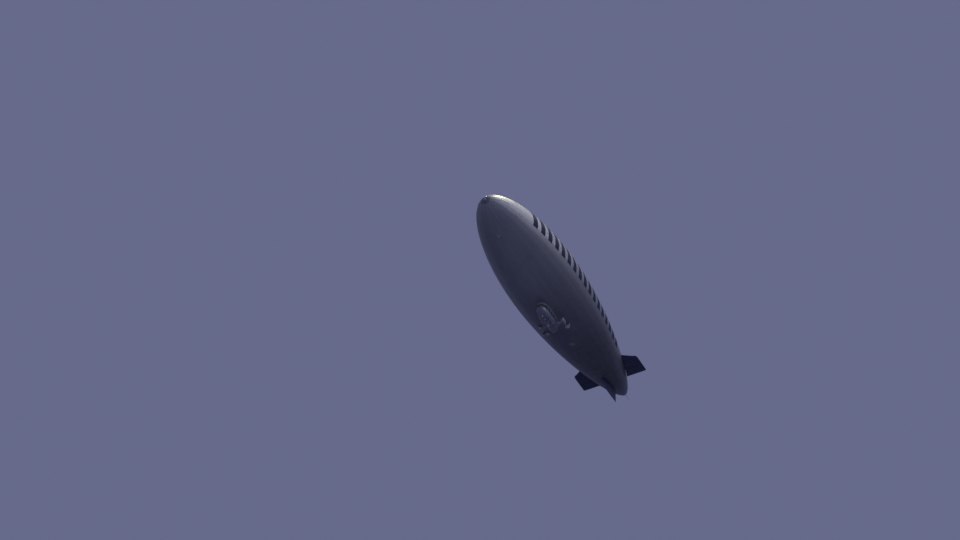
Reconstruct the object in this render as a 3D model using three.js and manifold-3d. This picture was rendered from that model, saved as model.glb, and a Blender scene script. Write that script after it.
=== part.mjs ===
// Airship: a non-rigid gas envelope with four tail fins, one cabin car, two pusher
// engines on outriggers and one castering landing wheel, at half its real size.
// Millimetres. +X is forward, +Y is port and +Z is up. The origin is on the
// envelope's axis, at the centre of its lift.
import * as THREE from "three";
import { mergeVertices } from "three/addons/utils/BufferGeometryUtils.js";
import Module from "manifold-3d";

const wasm = await Module();
wasm.setup();

// Clearances
const GAP = 0.3; // between two pieces that sit on each other
const SWING = 8; // round a moving piece
const SLIVER = 0.05; // edges shorter than this, left by the cuts, are taken out
const PORT = 1;
const STARBOARD = -1;

// Envelope: a body of revolution. Its radius at the fraction t of the length is
// length * sqrt(t (1 - t) (a + b t + c t^2 + d t^3)).
const HULL = { length: 29260, wall: 10, facets: 32, stations: 20 };
const HULL_SHAPE = [0.068, 0.0061, -0.0752, 0.0218];
const NOSE_RINGS = [250, 420, 830]; // radii of extra rings near the two ends
const TAIL_RINGS = [220];
const NOSE_PORT = 120; // radius of the opening that the nose cone closes
const TAIL_PORT = 100; // radius of the opening that the tail cap closes
const BATTENS = { pairs: 8, width: 26, height: 14, reach: 1500 };
const NOSE_CONE = { radius: 420, height: 30 };
const SPINDLE = { flange: 105, radius: 40, length: 300, collar: 58 };
const TAIL_CAP = { reach: 170, height: 24 };
const TAIL_BOOM = { radius: 13, length: 1130, foot: 60, hook: 70 };

// Round valves in the envelope: distance from the nose, and the angle about the
// axis, from +Y towards +Z.
const VALVES = [
  { name: "front_air_valve", from_nose: 2750, angle: -90 },
  { name: "rear_air_valve", from_nose: 17600, angle: -90 },
  { name: "gas_valve", from_nose: 19400, angle: 152 },
];
const VALVE = { radius: 240, flange: 300, proud: 22, depth: 60 };

// Tail fins. Distances are from the nose along the axis, and spans are from the axis.
const FIN = {
  lead_root: 24050, // leading edge where span is lead_span
  lead_span: 2050,
  sweep: 0.65, // leading edge, aft for each unit of span
  corner: 300, // rounding at the leading tip corner, along the span
  corner_run: 400, // and along the chord
  hinge: 26150,
  trail: 27100,
  root_half: 62, // half thickness at the hull and at the tip
  tip_half: 40,
  inner_span: 1250, // inside the hull, cut away by it
};
const FINS = [
  { name: "port", surface: "port_elevator", turn: 0, span: 3350 },
  { name: "starboard", surface: "starboard_elevator", turn: 180, span: 3350 },
  { name: "upper", surface: "upper_rudder", turn: 90, span: 3500 },
  { name: "lower", surface: "lower_rudder", turn: -90, span: 2850 },
];
const HINGE = { width: 20, places: [0.2, 0.52, 0.86], share: 0.62 };
const STAY = { radius: 5, pad: 46, apart: 16, on_fin: 0.72, chord: 25550, spread: 39.375 };
const STAY_FEET = [24500, 26300];

// Car: horizontal outlines at five heights. front and rear are measured from the
// centre, and half is the half width.
const CAR = { centre: 784, wall: 18, power: 2.8, facets: 32 };
const KEEL = -4720;
const CHINE = -4520;
const SILL = -4180;
const HEAD = -3740;
const CAR_TOP = -3380;
const CAR_LEVELS = [
  { z: KEEL, front: 1150, rear: 1330, half: 330 },
  { z: CHINE, front: 1560, rear: 1620, half: 500 },
  { z: SILL, front: 1700, rear: 1700, half: 545 },
  { z: HEAD, front: 1600, rear: 1680, half: 535 },
  { z: CAR_TOP, front: 1500, rear: 1640, half: 500 },
];
const FLOOR = { bottom: -4500, top: -4480 };
const JACK_PAD = { x: 1300, half_length: 80, half_width: 90, depth: 8 }; // under the keel
const ROOF = 25;
const GLASS = 5;
const LAP = 14; // of glass behind the edge of its opening
const WINDOW = { low: SILL + 34, high: HEAD - 34, width: 400 };
const WINDOW_ROW = [1500, 1020, 540, 60]; // centres, front to back
const DOOR_PLACE = 1; // the door takes this window's place to starboard
const DOOR = { bottom: -4470, top: HEAD - 20, gap: 6, frame: 45, knuckle: 10, proud: 16 };
const DOOR_HINGES = [-3880, -4340];
const DOOR_PANE_TOP = WINDOW.high - 30;
const WINDSHIELD = { from: 1770, post: 18, quarter: 200 };
const REAR_WINDOW = { to: -640, half: 360 };

// Cabin: seats stand at x, y on the floor.
const SEAT_SIDE = [
  [40, 0], [210, 0], [190, 170], [250, 180], [250, 235],
  [20, 225], [-60, 520], [-110, 510], [-40, 170], [60, 170],
];
const SEATS = [
  { name: "pilot_seat", x: 1500, y: 215, width: 235 },
  { name: "front_passenger_seat", x: 1500, y: -215, width: 235 },
  { name: "port_middle_seat", x: 640, y: 235, width: 250 },
  { name: "starboard_middle_seat", x: 400, y: -235, width: 250 },
  { name: "rear_bench", x: -260, y: 0, width: 800 },
];
const PANEL_SIDE = [[0, 0], [130, 0], [170, 230], [110, 330], [60, 330], [0, 240]];
const PANEL = { x: 1950, width: 520 };
const CONTROL_WHEEL = { x: 1640, y: 40, height: 250, radius: 125, rim: 9, width: 24 };

// Engines, on outriggers beside the car
const ENGINE = { x: -160, y: 1120, z: -4100 };
const NACELLE_SIDE = [
  [130, 118], [90, 150], [-50, 175], [-330, 172], [-500, 135], [-620, 88],
];
const NACELLE_WALL = 8;
const BLOCK = { rear: -330, front: 20, half_width: 115, half_height: 132, shaft: 24 };
const OUTRIGGER = { x: -300, chord: 130, thick: 42, strut: 22 };
const PROPELLER = { x: -705, radius: 500, hub: 62, half_hub: 54, spinner: 150 };
// Blade sections: share of the radius, chord, thickness and pitch in degrees
const BLADE = [
  { at: 0.08, chord: 46, thick: 30, pitch: 58 },
  { at: 0.3, chord: 74, thick: 17, pitch: 42 },
  { at: 0.65, chord: 82, thick: 10, pitch: 27 },
  { at: 0.92, chord: 62, thick: 6, pitch: 20 },
  { at: 1.0, chord: 34, thick: 4, pitch: 18 },
];
const SCOOP = { y: 1000, outer: 120, inner: 108, steps: 7 };
const SCOOP_PATH = [[-1010, -3960], [-1230, -3950], [-1480, -3800], [-1600, -3500], [-1640, -3200]];

// Landing gear and hand rails under the car
const GEAR = { x: 700, leg: 38, swivel: -5100, flange: 60, trail: 90, brace: 14 };
const BRACE = { x: 300, y: 190, low: -4990 };
const WHEEL = { radius: 165, bottom: -5560, hub_half: 66, tyre_half: 55, hub: 28 };
const FORK = { y: 81, arm: 14, boss: 24, crown: 34 };
const RAIL = { y: 400, z: -4745, radius: 11, front: 1750, rear: -150, posts: 4, post: 9 };

// Materials
function paint(colour, roughness, metalness = 0) {
  return new THREE.MeshStandardMaterial({ color: colour, roughness, metalness });
}
const SILVER_CLOTH = paint(0x8f93a3, 0.45, 0.3);
const NAVY_CLOTH = paint(0x1c2440, 0.6);
const SILVER_PAINT = paint(0xa7abb5, 0.4, 0.6);
const DARK_METAL = paint(0x3a3c42, 0.5, 0.7);
const SHELL_PAINT = paint(0x696c7c, 0.4);
const NACELLE_PAINT = paint(0x91939c, 0.35);
const CLEAR = paint(0x9fb4c4, 0.08);
const LEATHER = paint(0x4a3b32, 0.7);
const FLOORING = paint(0x4c4e52, 0.85);
const RUBBER = paint(0x1a1a1c, 0.85);
const STEEL = paint(0xb9bcc2, 0.35, 0.9);

// Solids
function solidOf(geometry) {
  const bare = new THREE.BufferGeometry();
  bare.setAttribute("position", geometry.getAttribute("position"));
  if (geometry.index) bare.setIndex(geometry.index);
  const merged = mergeVertices(bare, 1e-3);
  const faces = [];
  for (let i = 0; i < merged.index.count; i += 3) {
    const [a, b, c] = merged.index.array.slice(i, i + 3);
    if (a !== b && b !== c && c !== a) faces.push([a, b, c]);
  }
  const build = (list) => {
    const mesh = new wasm.Mesh({
      numProp: 3,
      vertProperties: merged.attributes.position.array,
      triVerts: new Uint32Array(list.flat()),
    });
    return new wasm.Manifold(mesh);
  };
  const solid = build(faces);
  return solid.volume() > 0 ? solid : build(faces.map(([a, b, c]) => [a, c, b]));
}

function geometryOf(solid) {
  const mesh = solid.getMesh();
  const geometry = new THREE.BufferGeometry();
  geometry.setAttribute("position", new THREE.BufferAttribute(mesh.vertProperties, 3));
  geometry.setIndex(new THREE.BufferAttribute(mesh.triVerts, 1));
  geometry.computeVertexNormals();
  return geometry;
}

function join(solids) {
  return solids.reduce((sum, solid) => sum.add(solid));
}

function box(x0, x1, y0, y1, z0, z1) {
  const geometry = new THREE.BoxGeometry(x1 - x0, y1 - y0, z1 - z0);
  return solidOf(geometry.translate((x0 + x1) / 2, (y0 + y1) / 2, (z0 + z1) / 2));
}

function vec(x, y, z) {
  return new THREE.Vector3(x, y, z);
}

// A round bar from one point to another
function rod(from, to, radius, sides = 8) {
  const along = to.clone().sub(from);
  const geometry = new THREE.CylinderGeometry(radius, radius, along.length(), sides);
  geometry.applyQuaternion(
    new THREE.Quaternion().setFromUnitVectors(vec(0, 1, 0), along.clone().normalize()),
  );
  return solidOf(geometry.translate(...from.clone().addScaledVector(along, 0.5)));
}

// A body turned about the X axis, from [x, radius] points
function turnedX(points, sides) {
  const profile = points.map(([x, radius]) => new THREE.Vector2(radius, x));
  return new THREE.LatheGeometry(profile, sides).rotateZ(-Math.PI / 2);
}

// A skin over rings of points, closed by a cap at each end or back on its first ring
function loft(rings, loop = false) {
  const size = rings[0].length;
  const points = rings.flat();
  const faces = [];
  const spans = loop ? rings.length : rings.length - 1;
  for (let i = 0; i < spans; i++) {
    const a = i * size;
    const b = ((i + 1) % rings.length) * size;
    for (let j = 0; j < size; j++) {
      const k = (j + 1) % size;
      faces.push(a + j, a + k, b + k, a + j, b + k, b + j);
    }
  }
  if (!loop) {
    const middle = (ring) => ring.reduce((sum, p) => sum.add(p), vec(0, 0, 0)).divideScalar(size);
    const first = points.push(middle(rings[0])) - 1;
    const last = points.push(middle(rings[rings.length - 1])) - 1;
    const end = (rings.length - 1) * size;
    for (let j = 0; j < size; j++) {
      const k = (j + 1) % size;
      faces.push(first, k, j, last, end + j, end + k);
    }
  }
  const geometry = new THREE.BufferGeometry().setFromPoints(points);
  geometry.setIndex(faces);
  return solidOf(geometry);
}

// Envelope
function hullRadius(from_nose) {
  const t = from_nose / HULL.length;
  const [a, b, c, d] = HULL_SHAPE;
  const square = t * (1 - t) * (a + b * t + c * t * t + d * t * t * t);
  return HULL.length * Math.sqrt(Math.max(square, 0));
}

// Distance from the nose to the middle of the enclosed volume
function liftCentre() {
  const steps = 4000;
  let volume = 0;
  let moment = 0;
  for (let i = 0; i < steps; i++) {
    const place = (HULL.length * (i + 0.5)) / steps;
    volume += hullRadius(place) ** 2;
    moment += hullRadius(place) ** 2 * place;
  }
  return moment / volume;
}
const NOSE_X = Math.round(liftCentre());

// Distance from one end at which the hull has grown to a radius
function placeOfRadius(radius, end) {
  let near = end;
  let far = HULL.length / 2;
  for (let i = 0; i < 60; i++) {
    const middle = (near + far) / 2;
    if (hullRadius(middle) < radius) near = middle;
    else far = middle;
  }
  return near;
}

const NOSE_PORT_PLACE = placeOfRadius(NOSE_PORT, 0);
const TAIL_PORT_PLACE = placeOfRadius(TAIL_PORT, HULL.length);
const CONE_PLACE = placeOfRadius(NOSE_CONE.radius, 0);

// Places of the hull's rings, closer together at its blunt ends
function hullStations() {
  const places = [NOSE_PORT_PLACE, TAIL_PORT_PLACE];
  for (const radius of NOSE_RINGS) places.push(placeOfRadius(radius, 0));
  for (const radius of TAIL_RINGS) places.push(placeOfRadius(radius, HULL.length));
  for (let i = 1; i < HULL.stations; i++) {
    places.push((HULL.length / 2) * (1 - Math.cos((Math.PI * i) / HULL.stations)));
  }
  return places.sort((a, b) => a - b);
}

// [x, radius] of the hull's surface, moved out along its normal
function hullPoint(place, out) {
  const step = 0.5;
  const slope = (hullRadius(place + step) - hullRadius(place - step)) / (2 * step);
  const length = Math.hypot(slope, 1);
  return [NOSE_X - place + (out * slope) / length, hullRadius(place) + out / length];
}

function hullSolid(out) {
  const points = hullStations().map((place) => hullPoint(place, out));
  const nose = [NOSE_X + out, 0];
  const tail = [NOSE_X - HULL.length - out, 0];
  return solidOf(turnedX([nose, ...points, tail], HULL.facets));
}
const HULL_SEAT = hullSolid(GAP);

// A point on the hull, at an angle from +Y towards +Z, and the way out of it there
function onHull(place, angle, out = 0) {
  const [x, radius] = hullPoint(place, out);
  const turn = THREE.MathUtils.degToRad(angle);
  return vec(x, radius * Math.cos(turn), radius * Math.sin(turn));
}

function hullRod(place, angle, low, high, radius, sides = 16) {
  return rod(onHull(place, angle, low), onHull(place, angle, high), radius, sides);
}

function envelope() {
  const places = hullStations();
  const outer = places.map((place) => hullPoint(place, 0));
  const inner = places.map((place) => hullPoint(place, -HULL.wall)).reverse();
  const skin = solidOf(turnedX([...outer, ...inner, outer[0]], HULL.facets));
  const bores = VALVES.map((valve) =>
    hullRod(valve.from_nose, valve.angle, -200, 200, VALVE.radius + GAP),
  );
  return skin.subtract(join(bores));
}

function valve({ from_nose, angle }) {
  const flange = hullRod(from_nose, angle, -VALVE.depth / 2, VALVE.proud, VALVE.flange);
  const body = hullRod(from_nose, angle, -VALVE.depth, VALVE.proud, VALVE.radius);
  return flange.subtract(HULL_SEAT).add(body);
}

// What lies ahead of a distance from the nose, and what lies behind one
function ahead(place) {
  const r = HULL.length;
  return box(NOSE_X - place, NOSE_X + r, -r, r, -r, r);
}
function behind(place) {
  const r = HULL.length;
  return box(NOSE_X - 2 * r, NOSE_X - place, -r, r, -r, r);
}

function noseBattens() {
  const skin = hullSolid(BATTENS.height).subtract(HULL_SEAT);
  const slabs = [];
  for (let i = 0; i < BATTENS.pairs; i++) {
    const slab = new THREE.BoxGeometry(2 * BATTENS.reach, BATTENS.width, HULL.length);
    slab.rotateX((Math.PI * i) / BATTENS.pairs).translate(NOSE_X, 0, 0);
    slabs.push(solidOf(slab));
  }
  const collar = ahead(CONE_PLACE * 0.9);
  return skin.intersect(join([...slabs, collar]));
}

function noseCone() {
  const low = hullSolid(BATTENS.height + GAP);
  return hullSolid(BATTENS.height + NOSE_CONE.height).subtract(low).intersect(ahead(CONE_PLACE));
}

function mooringSpindle() {
  const face = NOSE_X + BATTENS.height + NOSE_CONE.height;
  const shape = turnedX(
    [
      [face - 30, 0],
      [face - 30, SPINDLE.flange],
      [face + 14, SPINDLE.flange],
      [face + 14, SPINDLE.radius],
      [face + SPINDLE.length * 0.7, SPINDLE.radius],
      [face + SPINDLE.length * 0.75, SPINDLE.collar],
      [face + SPINDLE.length * 0.9, SPINDLE.collar],
      [face + SPINDLE.length, SPINDLE.radius],
      [face + SPINDLE.length, 0],
    ],
    16,
  );
  return solidOf(shape).subtract(hullSolid(BATTENS.height + NOSE_CONE.height + GAP));
}

function tailCap() {
  const bowl = hullSolid(TAIL_CAP.height).subtract(HULL_SEAT);
  return bowl.intersect(behind(HULL.length - TAIL_CAP.reach));
}

function tailBoom() {
  const end = NOSE_X - HULL.length - TAIL_CAP.height;
  const tip = vec(end - TAIL_BOOM.length, 0, 0);
  const boom = rod(vec(end + 40, 0, 0), tip, TAIL_BOOM.radius);
  const foot = rod(vec(end + 40, 0, 0), vec(end - 12, 0, 0), TAIL_BOOM.foot, 10);
  const hook = rod(tip, tip.clone().add(vec(-30, 0, -TAIL_BOOM.hook)), TAIL_BOOM.radius * 0.8);
  const shape = join([boom, foot, hook]);
  return shape.subtract(hullSolid(TAIL_CAP.height + GAP));
}

// Tail fins, made with their span along +Y and turned about the hull's axis
function finLead(span, tip) {
  const straight = (at) => FIN.lead_root + FIN.sweep * (at - FIN.lead_span);
  const start = tip - FIN.corner;
  if (span <= start) return straight(span);
  const share = Math.min((span - start) / FIN.corner, 1);
  return straight(start) + FIN.corner_run * (1 - Math.sqrt(1 - share * share));
}

function finHalf(span, tip) {
  const share = (span - FIN.lead_span) / (tip - FIN.lead_span);
  return THREE.MathUtils.lerp(FIN.root_half, FIN.tip_half, share);
}

function finSolid(tip, grow = 0) {
  // Shares of the chord and of the half thickness, from the leading edge back
  const nose = [[0, 0.12], [0.03, 0.5], [0.12, 0.8], [0.35, 1], [1, 1]];
  const spans = [FIN.inner_span, FIN.lead_span, tip - FIN.corner, tip - 130, tip - 40, tip];
  const rings = spans.map((span) => {
    const lead = finLead(span, tip) - grow;
    const half = finHalf(span, tip);
    const rear = FIN.hinge - half - SWING;
    const thick = half * (span === tip ? 0.55 : 1) + grow;
    const upper = nose.map(([x, z]) => vec(NOSE_X - lead - x * (rear - lead), span, z * thick));
    const lower = upper.map((p) => vec(p.x, p.y, -p.z)).reverse();
    return [...upper, ...lower];
  });
  return loft(rings);
}

function hingeSpans(tip) {
  const root = hullRadius(FIN.hinge);
  return HINGE.places.map((share) => THREE.MathUtils.lerp(root, tip, share));
}

function fin(tip) {
  const lugs = hingeSpans(tip).flatMap((span) => {
    const reach = finHalf(span, tip) * HINGE.share;
    const x = NOSE_X - FIN.hinge;
    const low = span - HINGE.width / 2;
    const high = span + HINGE.width / 2;
    return [
      box(x, x + 160, low, high, -reach * 0.8, reach * 0.8),
      rod(vec(x, low, 0), vec(x, high, 0), reach, 10),
    ];
  });
  return join([finSolid(tip), ...lugs]).subtract(HULL_SEAT);
}

function controlSurface(tip) {
  const inner = hullRadius(FIN.trail) + 20;
  const x = NOSE_X - FIN.hinge;
  const turns = [0, 60, 120, 180].map((angle) => THREE.MathUtils.degToRad(angle));
  const rings = [inner, tip - 60, tip].map((span) => {
    const half = finHalf(span, tip) * (span === tip ? 0.6 : 1);
    const trail = FIN.trail - (span === tip ? 60 : 0);
    const round = turns.map((turn) => vec(x + half * Math.sin(turn), span, half * Math.cos(turn)));
    return [...round, vec(NOSE_X - trail, span, -6), vec(NOSE_X - trail, span, 6)];
  });
  const slots = hingeSpans(tip).map((span) => {
    const depth = finHalf(span, tip) * HINGE.share + SWING;
    const half = HINGE.width / 2 + GAP;
    return box(x - depth, x + 200, span - half, span + half, -200, 200);
  });
  // The inner edge follows the hull, a little clear of it
  const edge = new THREE.Shape([
    new THREE.Vector2(x + 200, hullRadius(FIN.hinge - 200) + 40),
    new THREE.Vector2(NOSE_X - FIN.trail - 200, hullRadius(FIN.trail + 200) + 60),
    new THREE.Vector2(NOSE_X - FIN.trail - 200, 0),
    new THREE.Vector2(x + 200, 0),
  ]);
  const wedge = new THREE.ExtrudeGeometry(edge, { depth: 400, bevelEnabled: false });
  return loft(rings).subtract(join([...slots, solidOf(wedge.translate(0, 0, -200))]));
}

// Two bracing wires, from a plate on one side of the fin to two pads on the hull
function finStay(tip, side) {
  const span = THREE.MathUtils.lerp(FIN.lead_span, tip, STAY.on_fin);
  const x = NOSE_X - STAY.chord;
  const half = finHalf(span, tip);
  const top = vec(x, span, side * (half + 14));
  const wires = STAY_FEET.flatMap((place, order) => {
    const foot = onHull(place, side * STAY.spread, -20);
    const pad = rod(foot, onHull(place, side * STAY.spread, 12), STAY.pad, 8);
    const start = vec(x + (order ? -1 : 1) * STAY.apart, span, side * (half + 7));
    return [rod(start, onHull(place, side * STAY.spread, 4), STAY.radius, 5), pad];
  });
  const plate = rod(vec(x, span, 0), top, STAY.pad * 0.7, 8);
  return join([plate, ...wires]).subtract(finSolid(tip, GAP)).subtract(HULL_SEAT);
}

// Car
function carLevel(z) {
  const upper = CAR_LEVELS.findIndex((level) => level.z >= z);
  const b = CAR_LEVELS[Math.max(upper, 1)];
  const a = CAR_LEVELS[Math.max(upper, 1) - 1];
  const share = (z - a.z) / (b.z - a.z);
  const mix = (key) => THREE.MathUtils.lerp(a[key], b[key], share);
  return { front: mix("front"), rear: mix("rear"), half: mix("half") };
}

function carRing(z, inset, height = z) {
  const { front, rear, half } = carLevel(z);
  const ring = [];
  for (let i = 0; i < CAR.facets; i++) {
    const turn = (2 * Math.PI * i) / CAR.facets;
    const c = Math.cos(turn);
    const s = Math.sin(turn);
    const length = (c > 0 ? front : rear) - inset;
    const x = CAR.centre + length * Math.sign(c) * Math.abs(c) ** (2 / CAR.power);
    const y = (half - inset) * Math.sign(s) * Math.abs(s) ** (2 / CAR.power);
    ring.push(vec(x, y, height));
  }
  return ring;
}

// Every wall and strip has rings at the same heights, so that they lie side by side
function carHeights(low, high) {
  const levels = [...CAR_LEVELS.map((level) => level.z), WINDOW.low - LAP, WINDOW.high + LAP];
  const between = levels.filter((z) => z > low && z < high).sort((a, b) => a - b);
  return [low, ...between, high];
}

// The car's outline filled from one height to another, and a wall round it
function carPlug(low, high, inset, over = 0) {
  const rings = carHeights(low, high).map((z) => carRing(z, inset));
  if (over) rings.unshift(carRing(low, inset, low - over));
  if (over) rings.push(carRing(high, inset, high + over));
  return loft(rings);
}
function carWall(low, high, outside, inside) {
  return carPlug(low, high, outside).subtract(carPlug(low, high, inside, CAR.wall));
}
const CAR_SEAT = carPlug(KEEL, CAR_TOP, -GAP, GAP);

const DOOR_X = WINDOW_ROW[DOOR_PLACE];
const DOOR_FRONT = DOOR_X + WINDOW.width / 2;
const DOOR_REAR = DOOR_X - WINDOW.width / 2;
const DOOR_AXIS = {
  x: DOOR_FRONT - DOOR.gap / 2,
  y: STARBOARD * (carLevel(SILL).half + DOOR.proud),
};

function doorCut(inset) {
  const low = DOOR.bottom + inset;
  const high = DOOR.top - inset;
  return box(DOOR_REAR + inset, DOOR_FRONT - inset, -900, -300, low, high);
}

// One half of a door hinge: a barrel on the door's axis and a strap to the wall
function knuckle(z, side) {
  const low = side > 0 ? z + GAP / 2 : z - 40;
  const barrel = rod(
    vec(DOOR_AXIS.x, DOOR_AXIS.y, low),
    vec(DOOR_AXIS.x, DOOR_AXIS.y, low + 40 - GAP / 2),
    DOOR.knuckle,
    12,
  );
  const x0 = DOOR_AXIS.x + (side > 0 ? -30 : DOOR.gap / 2 + 2);
  const x1 = DOOR_AXIS.x + (side > 0 ? -DOOR.gap / 2 - 2 : 30);
  const link = box(
    Math.min(x0, DOOR_AXIS.x),
    Math.max(x1, DOOR_AXIS.x),
    DOOR_AXIS.y - 5,
    DOOR_AXIS.y + 5,
    low + 5,
    low + 35,
  );
  const inner = carLevel(z).half - CAR.wall / 2;
  const middle = (x0 + x1) / 2;
  const strap = box(middle - 11, middle + 11, DOOR_AXIS.y, -inner, low + 5, low + 35);
  return join([barrel, link, strap]);
}

function lowerShell() {
  const room = carPlug(CHINE, SILL, CAR.wall, CAR.wall);
  const bilge = loft([carRing(KEEL, CAR.wall, KEEL + CAR.wall), carRing(CHINE, CAR.wall)]);
  const shell = carPlug(KEEL, SILL, 0).subtract(join([room, bilge]));
  const { x, half_length, half_width, depth } = JACK_PAD;
  const pad = box(x - half_length, x + half_length, -half_width, half_width, KEEL - depth, KEEL + 5);
  return join([shell.subtract(doorCut(0)), pad, knuckle(DOOR_HINGES[1], -1)]);
}

function windowCut(x, side) {
  const half = WINDOW.width / 2;
  const y = [side * 300, side * 900].sort((a, b) => a - b);
  return box(x - half + 20, x + half - 20, y[0], y[1], WINDOW.low, WINDOW.high);
}

function windowFrame() {
  const { low, high } = WINDOW;
  const cuts = [];
  for (const side of [PORT, STARBOARD]) {
    WINDOW_ROW.forEach((x, place) => {
      if (side === PORT || place !== DOOR_PLACE) cuts.push(windowCut(x, side));
    });
    const y = [side * WINDSHIELD.quarter, side * 900].sort((a, b) => a - b);
    cuts.push(box(WINDSHIELD.from, 3000, y[0], y[1], low, high));
    const pane = [side * WINDSHIELD.post, side * (WINDSHIELD.quarter - 36)].sort((a, b) => a - b);
    cuts.push(box(WINDSHIELD.from, 3000, pane[0], pane[1], low, high));
    const rear = [side * WINDSHIELD.post, side * REAR_WINDOW.half].sort((a, b) => a - b);
    cuts.push(box(-1500, REAR_WINDOW.to, rear[0], rear[1], low, high));
  }
  const wall = carWall(SILL + GAP, HEAD, 0, CAR.wall).subtract(join(cuts));
  return wall.subtract(doorCut(0)).add(knuckle(DOOR_HINGES[0], -1));
}

// Glazing behind the window openings, in one strip between two places
function glassStrip(x0, x1, y0, y1, pane_top = WINDOW.high) {
  const low = WINDOW.low - LAP;
  const high = WINDOW.high + LAP;
  const inside = CAR.wall + GAP;
  const strip = carWall(low, high, inside, inside + GLASS);
  return strip.intersect(box(x0, x1, y0, y1, low, pane_top + LAP));
}

function doorLeaf() {
  const wall = carWall(DOOR.bottom - 10, DOOR.top + 5, 0, CAR.wall).intersect(doorCut(DOOR.gap));
  const edge = DOOR.gap + DOOR.frame;
  const pane = box(DOOR_REAR + edge, DOOR_FRONT - edge, -900, -300, WINDOW.low, DOOR_PANE_TOP);
  const hinges = DOOR_HINGES.map((z) => knuckle(z, 1));
  return join([wall.subtract(pane), ...hinges]);
}

function doorGlass() {
  const edge = DOOR.gap + DOOR.frame - LAP;
  return glassStrip(DOOR_REAR + edge, DOOR_FRONT - edge, -900, -300, DOOR_PANE_TOP);
}

function carFairing() {
  const low = HEAD + ROOF + 2 * GAP;
  return carWall(low, CAR_TOP, 0, CAR.wall).subtract(HULL_SEAT);
}

// A side outline of [x, z] points, made as wide as the piece is along Y
function sideShape(points, width) {
  const shape = new THREE.Shape(points.map(([x, z]) => new THREE.Vector2(x, z)));
  const geometry = new THREE.ExtrudeGeometry(shape, { depth: width, bevelEnabled: false });
  return geometry.rotateX(Math.PI / 2).translate(0, width / 2, 0);
}

function onFloor(points, x, y, width) {
  return solidOf(sideShape(points, width).translate(x, y, FLOOR.top + GAP));
}

function controlWheel() {
  const { x, y, height, radius, rim, width } = CONTROL_WHEEL;
  const hub = vec(x, y, FLOOR.top + height);
  const ring = new THREE.TorusGeometry(radius, rim, 5, 16).rotateX(Math.PI / 2);
  const parts = [solidOf(ring.translate(hub.x, hub.y, hub.z))];
  for (let i = 0; i < 3; i++) {
    const turn = (Math.PI * i) / 3;
    const arm = vec(radius * Math.cos(turn), 0, radius * Math.sin(turn));
    parts.push(rod(hub.clone().sub(arm), hub.clone().add(arm), rim * 0.6, 6));
  }
  const side = hub.clone().add(vec(0, -width, 0));
  parts.push(rod(side.clone().add(vec(0, -12, 0)), hub.clone().add(vec(0, 12, 0)), 20, 12));
  parts.push(
    box(x - 22, x + 22, y - width - 12, y - width + 4, FLOOR.top + GAP, hub.z),
  );
  return join(parts);
}

// Engines
function nacelleRings(inset) {
  return NACELLE_SIDE.map(([x, radius]) => [x, radius - inset]);
}

function nacellePlug(grow) {
  const points = nacelleRings(-grow);
  const front = points[0][0];
  const rear = points[points.length - 1][0];
  return solidOf(turnedX([[front, 0], ...points, [rear, 0]], 16));
}

function atEngine(solid, side) {
  return solid.translate([0, side * ENGINE.y, ENGINE.z]);
}

function nacelle(side) {
  const outer = nacelleRings(0);
  const inner = nacelleRings(NACELLE_WALL).reverse();
  return atEngine(solidOf(turnedX([...outer, ...inner, outer[0]], 16)), side);
}

function engine(side) {
  const { rear, front, half_width, half_height, shaft } = BLOCK;
  const block = box(rear, front, -half_width, half_width, -half_height, half_height);
  const fitted = block.intersect(nacellePlug(-NACELLE_WALL - GAP));
  const end = PROPELLER.x + PROPELLER.half_hub + GAP;
  return atEngine(fitted.add(rod(vec(rear + 5, 0, 0), vec(end, 0, 0), shaft, 10)), side);
}

function outrigger(side) {
  const ellipse = (y) => {
    const ring = [];
    for (let i = 0; i < 16; i++) {
      const turn = (Math.PI * i) / 8;
      const { x, chord, thick } = OUTRIGGER;
      ring.push(vec(x + chord * Math.cos(turn), side * y, ENGINE.z + thick * Math.sin(turn)));
    }
    return ring;
  };
  const beam = loft([ellipse(450), ellipse(ENGINE.y)]);
  const strut = rod(
    vec(OUTRIGGER.x, side * 400, CHINE + 60),
    vec(OUTRIGGER.x, side * (ENGINE.y - 200), ENGINE.z),
    OUTRIGGER.strut,
    12,
  );
  const shape = join([beam, strut]).subtract(CAR_SEAT);
  return shape.subtract(atEngine(nacellePlug(GAP), side));
}

function blade(half_turn) {
  const rings = BLADE.map(({ at, chord, thick, pitch }) => {
    const turn = THREE.MathUtils.degToRad(pitch);
    const section = [[-0.5, 0], [-0.3, 0.4], [0.1, 0.5], [0.5, 0], [0.1, -0.3], [-0.3, -0.25]];
    return section.map(([along, up]) => {
      const u = along * chord;
      const w = up * thick;
      const x = u * Math.sin(turn) + w * Math.cos(turn);
      const y = u * Math.cos(turn) - w * Math.sin(turn);
      return vec(PROPELLER.x + x, y, at * PROPELLER.radius);
    });
  });
  return loft(rings).rotate([half_turn * 180, 0, 0]);
}

function propeller(side) {
  const { x, hub, half_hub, spinner } = PROPELLER;
  const body = turnedX(
    [
      [x + half_hub, 0],
      [x + half_hub, hub],
      [x - half_hub, hub],
      [x - half_hub - spinner * 0.5, hub * 0.78],
      [x - half_hub - spinner * 0.85, hub * 0.4],
      [x - half_hub - spinner, 0],
    ],
    12,
  );
  return atEngine(join([solidOf(body), blade(0), blade(1)]), side);
}

function airScoop(side) {
  const path = new THREE.CatmullRomCurve3(
    SCOOP_PATH.map(([x, z]) => vec(x, side * SCOOP.y, z)),
  );
  const wall = new THREE.Shape().absarc(0, 0, SCOOP.outer, 0, 2 * Math.PI);
  wall.holes.push(new THREE.Path().absarc(0, 0, SCOOP.inner, 0, 2 * Math.PI));
  const options = { extrudePath: path, steps: SCOOP.steps, curveSegments: 6 };
  return solidOf(new THREE.ExtrudeGeometry(wall, options)).subtract(HULL_SEAT);
}

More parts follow.
